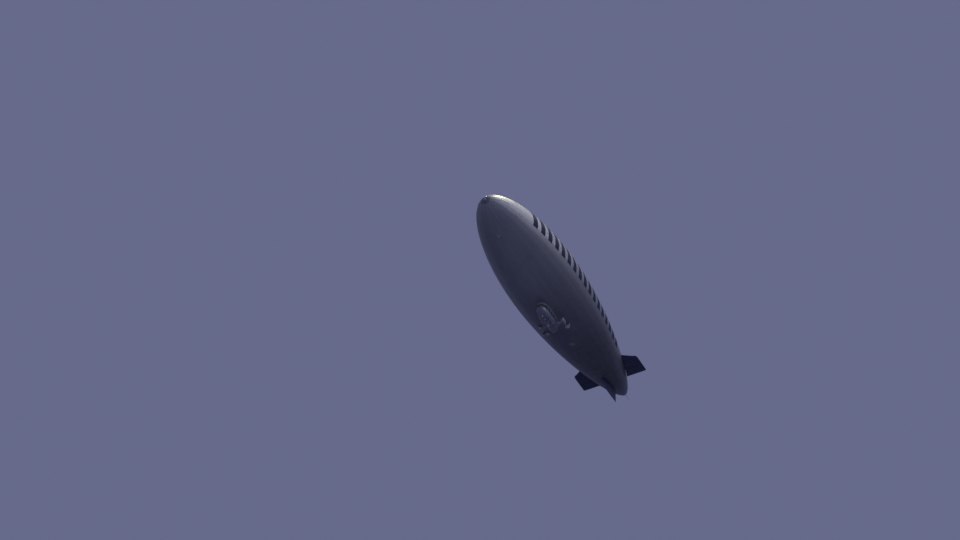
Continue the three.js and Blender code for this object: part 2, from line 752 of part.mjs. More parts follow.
// Landing gear
function gearLeg() {
  const top = vec(GEAR.x, 0, KEEL + 40);
  const foot = vec(GEAR.x, 0, GEAR.swivel);
  const parts = [rod(top, foot, GEAR.leg, 12)];
  parts.push(rod(vec(GEAR.x, 0, GEAR.swivel + 18), foot, GEAR.flange, 12));
  for (const [sx, sy] of [[1, 1], [1, -1], [-1, 1], [-1, -1]]) {
    const start = vec(GEAR.x + sx * BRACE.x, sy * BRACE.y, KEEL + 30);
    parts.push(rod(start, vec(GEAR.x, 0, BRACE.low), GEAR.brace, 8));
  }
  return join(parts).subtract(CAR_SEAT);
}

const AXLE = vec(GEAR.x - GEAR.trail, 0, WHEEL.bottom + WHEEL.radius);

function gearFork() {
  const top = GEAR.swivel - GAP;
  const parts = [rod(vec(GEAR.x, 0, top), vec(GEAR.x, 0, top - 20), GEAR.flange, 12)];
  const reach = FORK.y + FORK.arm;
  const low = top - 20 - FORK.crown;
  parts.push(box(GEAR.x - 46, GEAR.x + 40, -reach, reach, low, top - 15));
  for (const side of [PORT, STARBOARD]) {
    const start = vec(GEAR.x - 10, side * FORK.y, low + FORK.crown / 2);
    const axle = vec(AXLE.x, side * FORK.y, AXLE.z);
    parts.push(rod(start, axle, FORK.arm, 10));
    const inner = vec(AXLE.x, side * (WHEEL.hub_half + GAP), AXLE.z);
    parts.push(rod(inner, vec(AXLE.x, side * (reach + 4), AXLE.z), FORK.boss, 12));
  }
  return join(parts);
}

function landingWheel() {
  const { radius, hub_half, tyre_half, hub } = WHEEL;
  const half = [
    [0, hub_half],
    [hub, hub_half],
    [hub + 8, 34],
    [92, 30],
    [100, 44],
    [120, tyre_half],
    [142, tyre_half - 2],
    [158, 36],
    [radius, 16],
  ];
  const profile = [...half, ...half.map(([r, y]) => [r, -y]).reverse()];
  const points = profile.map(([r, y]) => new THREE.Vector2(r, y));
  const geometry = new THREE.LatheGeometry(points, 20);
  return solidOf(geometry.translate(AXLE.x, AXLE.y, AXLE.z));
}

function handRail(side) {
  const { z, radius, front, rear, posts } = RAIL;
  const y = side * RAIL.y;
  const parts = [rod(vec(rear, y, z), vec(front, y, z), radius, 8)];
  for (let i = 0; i < posts; i++) {
    const x = THREE.MathUtils.lerp(rear + 60, front - 60, i / (posts - 1));
    parts.push(rod(vec(x, y, z), vec(x, y, CHINE), RAIL.post, 8));
  }
  return join(parts).subtract(CAR_SEAT);
}

// The airship
const airship = new THREE.Group();

function add(name, solid, material, group = airship) {
  const mesh = new THREE.Mesh(geometryOf(solid.simplify(SLIVER)), material);
  mesh.name = name;
  group.add(mesh);
}

add("envelope", envelope(), SILVER_CLOTH);
add("nose_battens", noseBattens(), SILVER_PAINT);
add("nose_cone", noseCone(), DARK_METAL);
add("mooring_spindle", mooringSpindle(), STEEL);
for (const place of VALVES) add(place.name, valve(place), SILVER_PAINT);
add("tail_cap", tailCap(), DARK_METAL);
add("tail_boom", tailBoom(), STEEL);

for (const { name, surface, turn, span } of FINS) {
  const group = new THREE.Group();
  group.rotation.x = THREE.MathUtils.degToRad(turn);
  airship.add(group);
  add(name + "_fin", fin(span), NAVY_CLOTH, group);
  add(surface, controlSurface(span), NAVY_CLOTH, group);
  add(name + "_fin_stay_1", finStay(span, 1), STEEL, group);
  add(name + "_fin_stay_2", finStay(span, -1), STEEL, group);
}

add("car_lower_shell", lowerShell(), SHELL_PAINT);
add("car_window_frame", windowFrame(), SILVER_PAINT);
add("car_roof", carPlug(HEAD + GAP, HEAD + ROOF, 0), SILVER_PAINT);
add("car_fairing", carFairing(), SILVER_PAINT);
add("car_door", doorLeaf(), SILVER_PAINT);
add("door_glass", doorGlass(), CLEAR);
add("windshield_glass", glassStrip(WINDSHIELD.from - LAP, 3000, -900, 900), CLEAR);
const LAST_WINDOW = WINDOW_ROW[WINDOW_ROW.length - 1] - WINDOW.width / 2;
const FIRST_WINDOW = WINDOW_ROW[0] + WINDOW.width / 2;
add("port_window_glass", glassStrip(LAST_WINDOW, FIRST_WINDOW, 300, 900), CLEAR);
const BEFORE_DOOR = WINDOW_ROW[0] - WINDOW.width / 2;
add("starboard_front_window_glass", glassStrip(BEFORE_DOOR, FIRST_WINDOW, -900, -300), CLEAR);
const AFTER_DOOR = WINDOW_ROW[DOOR_PLACE + 1] + WINDOW.width / 2;
add("starboard_rear_window_glass", glassStrip(LAST_WINDOW, AFTER_DOOR, -900, -300), CLEAR);
add("rear_window_glass", glassStrip(-1500, REAR_WINDOW.to + LAP, -900, 900), CLEAR);

add("cabin_floor", carPlug(FLOOR.bottom, FLOOR.top, CAR.wall + GAP), FLOORING);
for (const { name, x, y, width } of SEATS) {
  add(name, onFloor(SEAT_SIDE, x, y, width), LEATHER);
}
add("instrument_panel", onFloor(PANEL_SIDE, PANEL.x, 0, PANEL.width), DARK_METAL);
add("elevator_wheel", controlWheel(), STEEL);

for (const [word, side] of [["port", PORT], ["starboard", STARBOARD]]) {
  add(word + "_outrigger", outrigger(side), SILVER_PAINT);
  add(word + "_nacelle", nacelle(side), NACELLE_PAINT);
  add(word + "_engine", engine(side), DARK_METAL);
  add(word + "_propeller", propeller(side), DARK_METAL);
  add(word + "_air_scoop", airScoop(side), SILVER_PAINT);
  add(word + "_hand_rail", handRail(side), STEEL);
}

add("gear_leg", gearLeg(), STEEL);
add("gear_fork", gearFork(), STEEL);
add("landing_wheel", landingWheel(), RUBBER);

export default airship;
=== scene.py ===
"""The looks of a half-size non-rigid airship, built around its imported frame.

Metres. +X is forward, +Y is port and +Z is up, with the origin on the envelope's axis.
Places on the envelope are a distance from its nose and an angle about its axis,
in degrees from +Y towards +Z.
"""

import math

import bmesh
import bpy
import numpy as np
from mathutils import Matrix, Vector


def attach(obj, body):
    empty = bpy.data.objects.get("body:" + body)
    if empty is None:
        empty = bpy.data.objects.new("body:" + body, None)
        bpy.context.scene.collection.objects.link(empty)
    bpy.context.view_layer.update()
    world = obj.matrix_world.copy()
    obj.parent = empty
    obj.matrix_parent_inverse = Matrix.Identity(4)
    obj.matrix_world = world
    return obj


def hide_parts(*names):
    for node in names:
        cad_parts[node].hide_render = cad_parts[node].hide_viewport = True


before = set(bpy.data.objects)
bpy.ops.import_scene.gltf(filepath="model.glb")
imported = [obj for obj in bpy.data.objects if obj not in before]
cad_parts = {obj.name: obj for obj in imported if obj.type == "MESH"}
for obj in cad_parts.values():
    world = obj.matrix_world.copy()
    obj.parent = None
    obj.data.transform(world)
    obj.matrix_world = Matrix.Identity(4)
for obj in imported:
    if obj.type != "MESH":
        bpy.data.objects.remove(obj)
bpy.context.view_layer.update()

SIDES = (("port", 1), ("starboard", -1))
ORIGIN = Vector((0, 0, 0))
FORWARD, PORT, UP = Vector((1, 0, 0)), Vector((0, 1, 0)), Vector((0, 0, 1))

# Envelope: radius at the fraction t of the length is length * sqrt(t (1 - t) (a + b t + c t^2 + d t^3))
HULL_LENGTH = 29.26
HULL_SHAPE = (0.068, 0.0061, -0.0752, 0.0218)
HULL_WALL = 0.01
NOSE_X = 13.234
MAX_RADIUS = 3.506
NOSE_PORT = 0.12
TAIL_PORT = 0.1
GORES = 24
GORE_ANGLE = 360 / GORES
STEPS_A_GORE = 8
PANEL_LENGTH = 1.52
PANEL_START = 1.9  # from the nose to the first short seam
BULGE = 0.012  # of the cloth between two long seams, at the thickest place
TAPE = 0.045
TAPE_PROUD = 0.0025


# Shapes


TAPE_SECTION = ((-0.5, 0.0), (-0.42, 1.0), (0.42, 1.0), (0.5, 0.0))  # shares of the width and of the height


class Shape:
    """Points and faces gathered from simple forms, and made into one mesh at the end."""

    def __init__(self):
        self.points = []
        self.faces = []
        self.looks = []

    def add(self, points, faces, look=0):
        base = len(self.points)
        self.points.extend(points)
        self.faces.extend(tuple(base + i for i in face) for face in faces)
        self.looks.extend([look] * len(faces))

    def loft(self, rings, look=0, loop=False, caps=True):
        """A skin over rings of as many points each, closed by a cap at each end or back on its first ring."""
        size = len(rings[0])
        faces = []
        for i in range(len(rings) if loop else len(rings) - 1):
            a = i * size
            b = (i + 1) % len(rings) * size
            faces += [(a + j, a + (j + 1) % size, b + (j + 1) % size, b + j) for j in range(size)]
        if caps and not loop:
            last = (len(rings) - 1) * size
            faces.append(tuple(reversed(range(size))))
            faces.append(tuple(last + j for j in range(size)))
        self.add([point for ring in rings for point in ring], faces, look)

    def tube(self, path, radius, sides=10, look=0, loop=False):
        """A round bar along points. radius is one number, or one for each point."""
        self.loft(rings_along(path, radius, sides, loop), look, loop)

    def pipe(self, path, radius, wall, sides=24, look=0):
        """A tube with open ends and a wall."""
        outer = rings_along(path, radius, sides)
        inner = rings_along(path, radius - wall, sides)
        self.loft(outer + inner[::-1], look, loop=True)

    def strip(self, points, outs, width, proud, look=0, section=TAPE_SECTION, sunk=0.001):
        """A flat bar or tape along points on a surface, whose way out is given at each of them."""
        rings = []
        for i, (point, out) in enumerate(zip(points, outs)):
            along = points[min(i + 1, len(points) - 1)] - points[max(i - 1, 0)]
            across = along.cross(out).normalized()
            across *= width
            rings.append([point + across * side + out * mix(-sunk, proud, up) for side, up in section])
        self.loft(rings, look)

    def lathe(self, profile, centre, axis, sides=32, look=0, loop=False):
        """A body turned about an axis, from (along, radius) pairs."""
        along = Vector(axis).normalized()
        side = along.orthogonal().normalized()
        up = along.cross(side)
        centre = Vector(centre)
        rings = [circle(centre + along * place, radius, sides, side, up) for place, radius in profile]
        self.loft(rings, look, loop)

    def box(self, low, high, look=0):
        (x0, y0, z0), (x1, y1, z1) = low, high
        ring = [(x0, y0), (x1, y0), (x1, y1), (x0, y1)]
        self.loft([[Vector((x, y, z)) for x, y in ring] for z in (z0, z1)], look)

    def dome(self, point, out, radius, look=0, sides=6):
        """A small round head, such as a rivet's or a bolt's."""
        profile = [(-0.3 * radius, radius), (0.3 * radius, 0.85 * radius), (0.6 * radius, 0.4 * radius)]
        self.lathe(profile, point, out, sides, look)

    def build(self, name, body, materials, replaces=(), bevel=0, sharp=35):
        """One object of all the forms, riding on a body."""
        piece = new_object(name, self.points, self.faces)
        piece.data.polygons.foreach_set("material_index", self.looks)
        tidy_normals(piece.data, sharp)
        for material in materials if isinstance(materials, (list, tuple)) else [materials]:
            piece.data.materials.append(material)
        if bevel:
            rounding = piece.modifiers.new("rounding", "BEVEL")
            rounding.width = bevel
            rounding.segments = 2
            rounding.limit_method = "ANGLE"
            rounding.angle_limit = math.radians(40)
        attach(piece, body)
        if replaces:
            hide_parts(*([replaces] if isinstance(replaces, str) else replaces))
        return piece


def new_object(name, points, faces):
    """An object in the scene, with a new mesh of its own."""
    mesh = bpy.data.meshes.new(name)
    mesh.from_pydata([tuple(point) for point in points], [], faces)
    made = bpy.data.objects.new(name, mesh)
    bpy.context.scene.collection.objects.link(made)
    return made


def tidy_normals(mesh, sharp):
    """Faces look outwards, and edges sharper than an angle in degrees stay crisp."""
    work = bmesh.new()
    work.from_mesh(mesh)
    bmesh.ops.recalc_face_normals(work, faces=work.faces)
    limit = math.radians(sharp)
    for face in work.faces:
        face.smooth = True
    for edge in work.edges:
        edge.smooth = len(edge.link_faces) == 2 and edge.calc_face_angle(0) < limit
    work.to_mesh(mesh)
    work.free()


def apply_modifiers(piece):
    bpy.context.view_layer.update()
    done = bpy.data.meshes.new_from_object(piece.evaluated_get(bpy.context.evaluated_depsgraph_get()))
    piece.modifiers.clear()
    piece.data = done


def carve(piece, tool):
    """Cuts a shape out of a piece."""
    cutter = new_object("tool", tool.points, tool.faces)
    tidy_normals(cutter.data, 35)
    boolean = piece.modifiers.new("cut", "BOOLEAN")
    boolean.operation = "DIFFERENCE"
    boolean.solver = "EXACT"
    boolean.object = cutter
    apply_modifiers(piece)
    bpy.data.objects.remove(cutter)
    tidy_normals(piece.data, 35)


def mix(a, b, share):
    return a + (b - a) * share


def evenly(first, last, count):
    """Values spaced evenly from the first to the last."""
    return [mix(first, last, i / (count - 1)) for i in range(count)]


def full_turn(count, start=0.0):
    """Angles spaced evenly round a full turn, in radians. The start is a share of one step."""
    return [2 * math.pi * (i + start) / count for i in range(count)]


def circle(centre, radius, count, side, up, start=0.0):
    """Points spaced evenly round a circle in the plane of two directions."""
    return [centre + (side * math.cos(t) + up * math.sin(t)) * radius for t in full_turn(count, start)]


def bent(value, power):
    """A cosine or a sine for the rounded square of a superellipse."""
    return math.copysign(abs(value) ** power, value)


def oval(centre, long, wide, power, count, side=FORWARD, up=PORT):
    """Points round an ellipse, or with a power under 1 a rounded square, in the plane of two directions."""
    shares = [(bent(math.cos(t), power), bent(math.sin(t), power)) for t in full_turn(count)]
    return [centre + side * (long * c) + up * (wide * s) for c, s in shares]


def rings_along(path, radius, sides, loop=False):
    """Circles round a path. radius is one number, or one for each point."""
    path = [Vector(point) for point in path]
    radii = radius if hasattr(radius, "__len__") else [radius] * len(path)
    count = len(path)
    rings = []
    side = None
    for i, point in enumerate(path):
        after = path[(i + 1) % count] if loop or i + 1 < count else point
        before = path[i - 1] if loop or i else point
        along = (after - before).normalized()
        if side is None:
            side = along.orthogonal().normalized()
        side = (side - along * side.dot(along)).normalized()
        rings.append(circle(point, radii[i], sides, side, along.cross(side)))
    return rings


def spline(points, steps=6):
    """Points of a smooth curve through all the given ones."""
    points = [Vector(point) for point in points]
    ends = [points[0] * 2 - points[1], *points, points[-1] * 2 - points[-2]]
    curve = []
    for a, b, c, d in zip(ends, ends[1:], ends[2:], ends[3:]):
        for i in range(steps):
            t = i / steps
            bend = (2 * a - 5 * b + 4 * c - d) * t**2 + (3 * b - a - 3 * c + d) * t**3
            curve.append((2 * b + (c - a) * t + bend) * 0.5)
    curve.append(points[-1])
    return curve


# Envelope geometry


def hull_radius(place):
    t = min(max(place / HULL_LENGTH, 0), 1)
    a, b, c, d = HULL_SHAPE
    return HULL_LENGTH * math.sqrt(max(t * (1 - t) * (a + b * t + c * t**2 + d * t**3), 0))


def hull_slope(place, step=0.0005):
    return (hull_radius(place + step) - hull_radius(place - step)) / (2 * step)


def on_hull(place, angle, out=0.0):
    """A point on the cloth, or above it, with the slight bulge between the long seams."""
    radius = hull_radius(place)
    out += BULGE * radius / MAX_RADIUS * (abs(math.sin(math.radians(180 * angle / GORE_ANGLE))) - 0.5)
    slope = hull_slope(place)
    length = math.hypot(slope, 1)
    turn = math.radians(angle)
    radius += out / length
    return Vector((NOSE_X - place + out * slope / length, radius * math.cos(turn), radius * math.sin(turn)))


def out_of_hull(place, angle):
    return (on_hull(place, angle, 0.1) - on_hull(place, angle)).normalized()


def place_of_radius(radius, end):
    """Distance from the nose, near one end, where the envelope has grown to a radius."""
    near, far = end, HULL_LENGTH / 2
    for _ in range(60):
        middle = (near + far) / 2
        near, far = (middle, far) if hull_radius(middle) < radius else (near, middle)
    return near


def even_places(first, last, count):
    """Places that lie closer together at the two ends, where the envelope curves most."""
    turns = [math.acos(1 - 2 * place / HULL_LENGTH) for place in (first, last)]
    return [HULL_LENGTH / 2 * (1 - math.cos(t)) for t in evenly(*turns, count)]


NOSE_PORT_PLACE = place_of_radius(NOSE_PORT, 0)
TAIL_PORT_PLACE = place_of_radius(TAIL_PORT, HULL_LENGTH)


def hull_arc(place, length):
    """The angle in degrees that a length across the envelope spans at a place."""
    return math.degrees(length / hull_radius(place))


def angle_under(place, y):
    """The angle of the point on the envelope's underside at a place and a Y."""
    return -90 + math.degrees(math.asin(y / hull_radius(place)))


def hull_strip(shape, path, width, proud, look=0, section=TAPE_SECTION):
    """A tape on the cloth along (place, angle) points."""
    points = [on_hull(place, angle) for place, angle in path]
    shape.strip(points, [out_of_hull(place, angle) for place, angle in path], width, proud, look, section)


def hull_dome(shape, place, angle, proud, radius, look, sides=6):
    shape.dome(on_hull(place, angle, proud), out_of_hull(place, angle), radius, look, sides)


def envelope_skin(cloth):
    places = even_places(NOSE_PORT_PLACE, TAIL_PORT_PLACE, 216)
    count = GORES * STEPS_A_GORE
    angles = [360 * i / count for i in range(count)]
    shape = Shape()
    shape.loft([[on_hull(place, angle) for angle in angles] for place in places], caps=False)
    skin = shape.build("envelope_skin", "root", cloth, replaces="envelope")
    wall = skin.modifiers.new("wall", "SOLIDIFY")
    wall.thickness = HULL_WALL
    wall.offset = -1


def envelope_seams(tape):
    """Long tapes between the gores, and short ones across each gore, set like bricks."""
    shape = Shape()
    first, last, last_panel = 0.5, HULL_LENGTH - 0.35, HULL_LENGTH - 1.2
    for gore in range(GORES):
        angle = gore * GORE_ANGLE
        hull_strip(shape, [(place, angle) for place in even_places(first, last, 90)], TAPE, TAPE_PROUD)
        place = PANEL_START + (gore % 2) * PANEL_LENGTH / 2
        while place < last_panel:
            path = [(place, angle + GORE_ANGLE * i / STEPS_A_GORE) for i in range(STEPS_A_GORE + 1)]
            hull_strip(shape, path, TAPE * 0.8, TAPE_PROUD * 0.8)
            place += PANEL_LENGTH
    shape.build("envelope_seams", "root", tape)


BARS = {"first": 4.35, "last": 22.5, "count": 17, "share": 0.56, "low": -11.5, "high": 36.25}
BAR_PROUD, BAR_SUNK = 0.004, 0.001


def flank_bars(word, side, paint):
    """Plain upright bars, evenly spaced along one flank."""
    shape = Shape()
    pitch = (BARS["last"] - BARS["first"]) / (BARS["count"] - 1 + BARS["share"])
    angles = evenly(BARS["low"], BARS["high"], 27)
    if side < 0:
        angles = [180 - angle for angle in angles]
    for i in range(BARS["count"]):
        rings = []
        for j in range(7):
            place = BARS["first"] + i * pitch + pitch * BARS["share"] * j / 6
            over = [on_hull(place, angle, BAR_PROUD) for angle in angles]
            under = [on_hull(place, angle, -BAR_SUNK) for angle in reversed(angles)]
            rings.append(over + under)
        shape.loft(rings)
    shape.build(word + "_flank_bars", "root", paint)


# Materials


def node(tree, kind, inputs=None, **settings):
    """One shader node, with its inputs set to values or linked to other nodes' outputs."""
    made = tree.nodes.new("ShaderNode" + kind)
    for key, value in settings.items():
        setattr(made, key, value)
    for key, value in (inputs or {}).items():
        if isinstance(value, bpy.types.NodeSocket):
            tree.links.new(value, made.inputs[key])
        else:
            made.inputs[key].default_value = value
    return made


def sums(tree, operation, a, b=0.0, c=0.5):
    return node(tree, "Math", {0: a, 1: b, 2: c}, operation=operation).outputs[0]


def object_point(tree):
    return node(tree, "TexCoord").outputs["Object"]


def object_place(tree, scale=(1, 1, 1)):
    return node(tree, "Mapping", {"Vector": object_point(tree), "Scale": scale}).outputs[0]


def noise(tree, vector, scale, detail=4.0, roughness=0.55):
    inputs = {"Vector": vector, "Scale": scale, "Detail": detail, "Roughness": roughness}
    return node(tree, "TexNoise", inputs).outputs["Fac"]


def ramp(tree, value, *stops):
    """A colour ramp from (place, colour) pairs."""
    made = node(tree, "ValToRGB", {"Fac": value})
    elements = made.color_ramp.elements
    while len(elements) < len(stops):
        elements.new(0.5)
    for element, (place, colour) in zip(elements, stops):
        element.position = place
        element.color = (*colour, 1) if hasattr(colour, "__len__") else (colour, colour, colour, 1)
    return made.outputs["Color"]


def blend_colours(tree, share, a, b, how="MIX"):
    """Two colours mixed by a share. Each is a tuple or another node's output."""
    inputs = {0: share, 6: a, 7: b}
    inputs = {key: (*value, 1) if isinstance(value, tuple) else value for key, value in inputs.items()}
    return node(tree, "Mix", inputs, data_type="RGBA", blend_type=how).outputs[2]


def material(name, **values):
    """A new material, and its node tree and shader. Values are set on the shader's own sockets."""
    made = bpy.data.materials.new(name)
    made.use_nodes = True
    tree = made.node_tree
    shader = tree.nodes["Principled BSDF"]
    for key, value in values.items():
        socket = shader.inputs[key.replace("_", " ").title().replace("Ior", "IOR")]
        socket.default_value = (*value, 1) if isinstance(value, tuple) else value
    return made, tree, shader


def bump(tree, shader, height, distance, strength=1.0):
    inputs = {"Height": height, "Distance": distance, "Strength": strength}
    tree.links.new(node(tree, "Bump", inputs).outputs[0], shader.inputs["Normal"])


def colour_of(tree, shader, colour):
    tree.links.new(colour, shader.inputs["Base Color"])


def roughness_of(tree, shader, value, *stops):
    tree.links.new(ramp(tree, value, *stops), shader.inputs["Roughness"])


def panel_tone(tree, x, y, z):
    """A random number for each panel between the seams, from a place on the hull."""
    turn = sums(tree, "MULTIPLY", sums(tree, "ARCTAN2", z, y), 180 / math.pi)
    gore = sums(tree, "FLOOR", sums(tree, "DIVIDE", turn, GORE_ANGLE))
    odd = sums(tree, "MULTIPLY", sums(tree, "MODULO", sums(tree, "ADD", gore, GORES), 2), PANEL_LENGTH / 2)
    from_nose = sums(tree, "SUBTRACT", NOSE_X - PANEL_START, sums(tree, "ADD", x, odd))
    panel = sums(tree, "FLOOR", sums(tree, "DIVIDE", from_nose, PANEL_LENGTH))
    cell = node(tree, "CombineXYZ", {0: gore, 1: panel}).outputs[0]
    return node(tree, "TexWhiteNoise", {"Vector": cell}, noise_dimensions="2D").outputs["Value"]


def envelope_cloth(name, shade=1.0):
    """Aluminised cloth: each panel a little different, with painted shade low down that grows towards the
    tail, most of it behind the engines, mottled a little by dirt.
    """

    def shaded(*colour):
        return tuple(channel * shade for channel in colour)

    made, tree, shader = material(name, metallic=0.35)
    x, y, z = node(tree, "SeparateXYZ", {0: object_point(tree)}).outputs
    pale, dark = shaded(0.22, 0.228, 0.265), shaded(0.205, 0.213, 0.25)
    silver = ramp(tree, panel_tone(tree, x, y, z), (0, dark), (1, pale))
    stains = noise(tree, object_place(tree, (0.35, 1, 1)), 0.9, 6, 0.62)
    blotches = ramp(tree, stains, (0.46, 0.0), (0.72, 0.3))
    stained = blend_colours(tree, blotches, silver, shaded(0.16, 0.165, 0.195))
    # Painted shade: the cloth darkens towards the underside, and more towards the tail, mottled a little by
    # dirt.
    low = ramp(tree, sums(tree, "MULTIPLY_ADD", z, -0.14), (0.38, 0.0), (0.72, 1.0))
    painted_tail_shade = ramp(tree, sums(tree, "MULTIPLY_ADD", x, -0.05), (0.25, 0.35), (0.85, 1.0))
    dirt_and_shade_mottle = noise(tree, object_place(tree, (1.5, 1, 0.5)), 2.2, 5, 0.6)
    spread = blend_colours(tree, 1.0, low, ramp(tree, dirt_and_shade_mottle, (0.3, 0.7), (0.75, 0.95)), "MULTIPLY")
    share = blend_colours(tree, 1.0, spread, painted_tail_shade, "MULTIPLY")
    # Blends the cloth towards a near-black blue-grey by that share: the painted shade of the belly and tail.
    colour_of(tree, shader, blend_colours(tree, share, stained, shaded(0.052, 0.054, 0.072)))
    soft = noise(tree, object_place(tree), 0.8, 3)
    weave = noise(tree, object_place(tree), 260, 2)
    bump(tree, shader, sums(tree, "MULTIPLY_ADD", weave, 0.06, soft), 0.02, 0.5)
    roughness_of(tree, shader, stains, (0.3, 0.42), (0.8, 0.52))
    return made


def plain_cloth(name, colour, dark, roughness, weave_scale=320.0, gloss=0.5):
    """A cloth of one colour with faint blotches and a fine weave."""
    made, tree, shader = material(name, roughness=roughness, specular_ior_level=gloss)
    blotch = noise(tree, object_place(tree), 2.4, 5, 0.6)
    colour_of(tree, shader, ramp(tree, blotch, (0.3, dark), (0.7, colour)))
    weave = noise(tree, object_place(tree), weave_scale, 2)
    bump(tree, shader, weave, 0.002, 0.4)
    return made


def painted(name, colour, roughness=0.4, metallic=0.0, wear=0.25, coat=0.0):
    """Paint on metal: a little uneven, with faint streaks that run down and a fine orange peel."""
    made, tree, shader = material(name, metallic=metallic, coat_weight=coat)
    streaks = noise(tree, object_place(tree, (6, 6, 0.7)), 2.0, 6, 0.65)
    spots = noise(tree, object_place(tree), 14, 5, 0.6)
    worn = tuple(channel * (1 - wear) for channel in colour)
    streaked = ramp(tree, streaks, (0.35, worn), (0.6, colour))
    share = ramp(tree, spots, (0.55, 0.0), (0.8, 0.5))
    colour_of(tree, shader, blend_colours(tree, share, streaked, worn))
    roughness_of(tree, shader, spots, (0.3, roughness - 0.06), (0.75, roughness + 0.12))
    bump(tree, shader, noise(tree, object_place(tree), 90, 2), 0.0006, 0.3)
    return made


def bare_metal(name, colour, dark, roughness, stretch=(1, 1, 1), scale=60.0):
    """Metal without paint, with brushed or cast grain and darker patches."""
    made, tree, shader = material(name, metallic=1.0)
    grain = noise(tree, object_place(tree, stretch), scale, 4, 0.6)
    patches = noise(tree, object_place(tree), 9, 5, 0.65)
    colour_of(tree, shader, ramp(tree, patches, (0.35, dark), (0.65, colour)))
    roughness_of(tree, shader, grain, (0.3, roughness - 0.08), (0.7, roughness + 0.12))
    bump(tree, shader, grain, 0.0008, 0.35)
    return made


def black_rubber(name, colour=0.02, roughness=0.7):
    made, tree, shader = material(name)
    dust = noise(tree, object_place(tree), 16, 6, 0.65)
    grey = colour * 2.6
    dusty = (grey, grey * 0.96, grey * 0.9)
    colour_of(tree, shader, ramp(tree, dust, (0.45, (colour, colour, colour * 1.1)), (0.8, dusty)))
    roughness_of(tree, shader, dust, (0.3, roughness - 0.12), (0.7, roughness + 0.1))
    bump(tree, shader, noise(tree, object_place(tree), 220, 3), 0.0008, 0.4)
    return made


def clear_pane():
    """Thin curved panes: clear, with a shine at grazing angles and a little dust."""
    made = bpy.data.materials.new("clear_pane")
    made.use_nodes = True
    tree = made.node_tree
    tree.nodes.remove(tree.nodes["Principled BSDF"])
    dust = noise(tree, object_place(tree), 5, 6, 0.7)
    tint = ramp(tree, dust, (0.4, (0.91, 0.955, 0.96)), (0.75, (0.85, 0.89, 0.89)))
    clear = node(tree, "BsdfTransparent", {"Color": tint}).outputs[0]
    shine = node(tree, "BsdfGlossy", {"Roughness": 0.04}).outputs[0]
    grazing = node(tree, "LayerWeight", {"Blend": 0.5}).outputs["Facing"]
    share = sums(tree, "ADD", sums(tree, "MULTIPLY", sums(tree, "POWER", grazing, 5), 0.96), 0.04)
    mixed = node(tree, "MixShader", {0: share, 1: clear, 2: shine}).outputs[0]
    tree.links.new(mixed, tree.nodes["Material Output"].inputs["Surface"])
    return made


def creased_leather():
    made, tree, shader = material("brown_leather", coat_weight=0.1)
    inputs = {"Vector": object_place(tree), "Scale": 380.0}
    cells = node(tree, "TexVoronoi", inputs, feature="DISTANCE_TO_EDGE").outputs[0]
    wear = noise(tree, object_place(tree), 7, 6, 0.65)
    browns = ((0.3, (0.085, 0.042, 0.026)), (0.55, (0.15, 0.078, 0.048)), (0.8, (0.23, 0.135, 0.09)))
    colour_of(tree, shader, ramp(tree, wear, *browns))
    roughness_of(tree, shader, wear, (0.3, 0.42), (0.75, 0.62))
    bump(tree, shader, ramp(tree, cells, (0.0, 0.0), (0.12, 1.0)), 0.0005, 0.5)
    return made


def ribbed_floor():
    made, tree, shader = material("ribbed_floor", roughness=0.6)
    inputs = {"Vector": object_place(tree), "Scale": 26.0}
    wave = node(tree, "TexWave", inputs, bands_direction="Y").outputs["Fac"]
    scuffs = noise(tree, object_place(tree), 6, 6, 0.7)
    base = ramp(tree, scuffs, (0.35, (0.05, 0.052, 0.058)), (0.7, (0.105, 0.105, 0.11)))
    grooves = ramp(tree, wave, (0.2, 0.45), (0.6, 0.0))
    colour_of(tree, shader, blend_colours(tree, grooves, base, (0.03, 0.031, 0.034)))
    bump(tree, shader, wave, 0.002, 0.7)
    return made


def varnished_wood():
    made, tree, shader = material("varnished_wood", coat_weight=0.6, roughness=0.35)
    grain = noise(tree, object_place(tree, (3, 30, 3)), 8, 6, 0.7)
    colour_of(tree, shader, ramp(tree, grain, (0.3, (0.09, 0.032, 0.012)), (0.7, (0.23, 0.1, 0.04))))
    bump(tree, shader, grain, 0.0006, 0.3)
    return made


def lamp_glass(name, colour, glow):
    """A lens of one colour, faintly lit, with moulded ribs."""
    lit = {"emission_color": colour, "emission_strength": glow}
    made, tree, shader = material(name, roughness=0.12, coat_weight=0.8, **lit)
    ribs = noise(tree, object_place(tree), 120, 2)
    darker = tuple(channel * 0.6 for channel in colour)
    colour_of(tree, shader, ramp(tree, ribs, (0.35, darker), (0.65, colour)))
    bump(tree, shader, ribs, 0.001, 0.4)
    return made


# Nose, valves and tail


CONE_RADIUS = 0.42
CONE_PROUD = 0.044  # of the dish above the cloth: the battens' height and its own
BATTEN = {"count": 16, "width": 0.026, "height": 0.014, "reach": 1.5, "straps": 7}
SPINDLE_END = 13.578
CONE_PLACE = place_of_radius(CONE_RADIUS, 0)
STRAP = ((-1, 0.002), (-0.45, 0.004), (-0.25, 0.016), (0.25, 0.016), (0.45, 0.004), (1, 0.002))
ROUND_BAR = ((-0.5, -0.07), (-0.42, 0.55), (-0.2, 0.95), (0.2, 0.95), (0.42, 0.55), (0.5, -0.07))


def lap(shape, place, angle, reach, width, outs, look=0):
    """A short strap across a rod that lies along the hull, from its heights above the cloth."""
    rings = []
    for share, out in outs:
        corners = ((-0.5, out - 0.003), (-0.5, out), (0.5, out), (0.5, out - 0.003))
        at = angle + share * hull_arc(place, reach)
        rings.append([on_hull(place + along * width, at, up) for along, up in corners])
    shape.loft(rings, look)


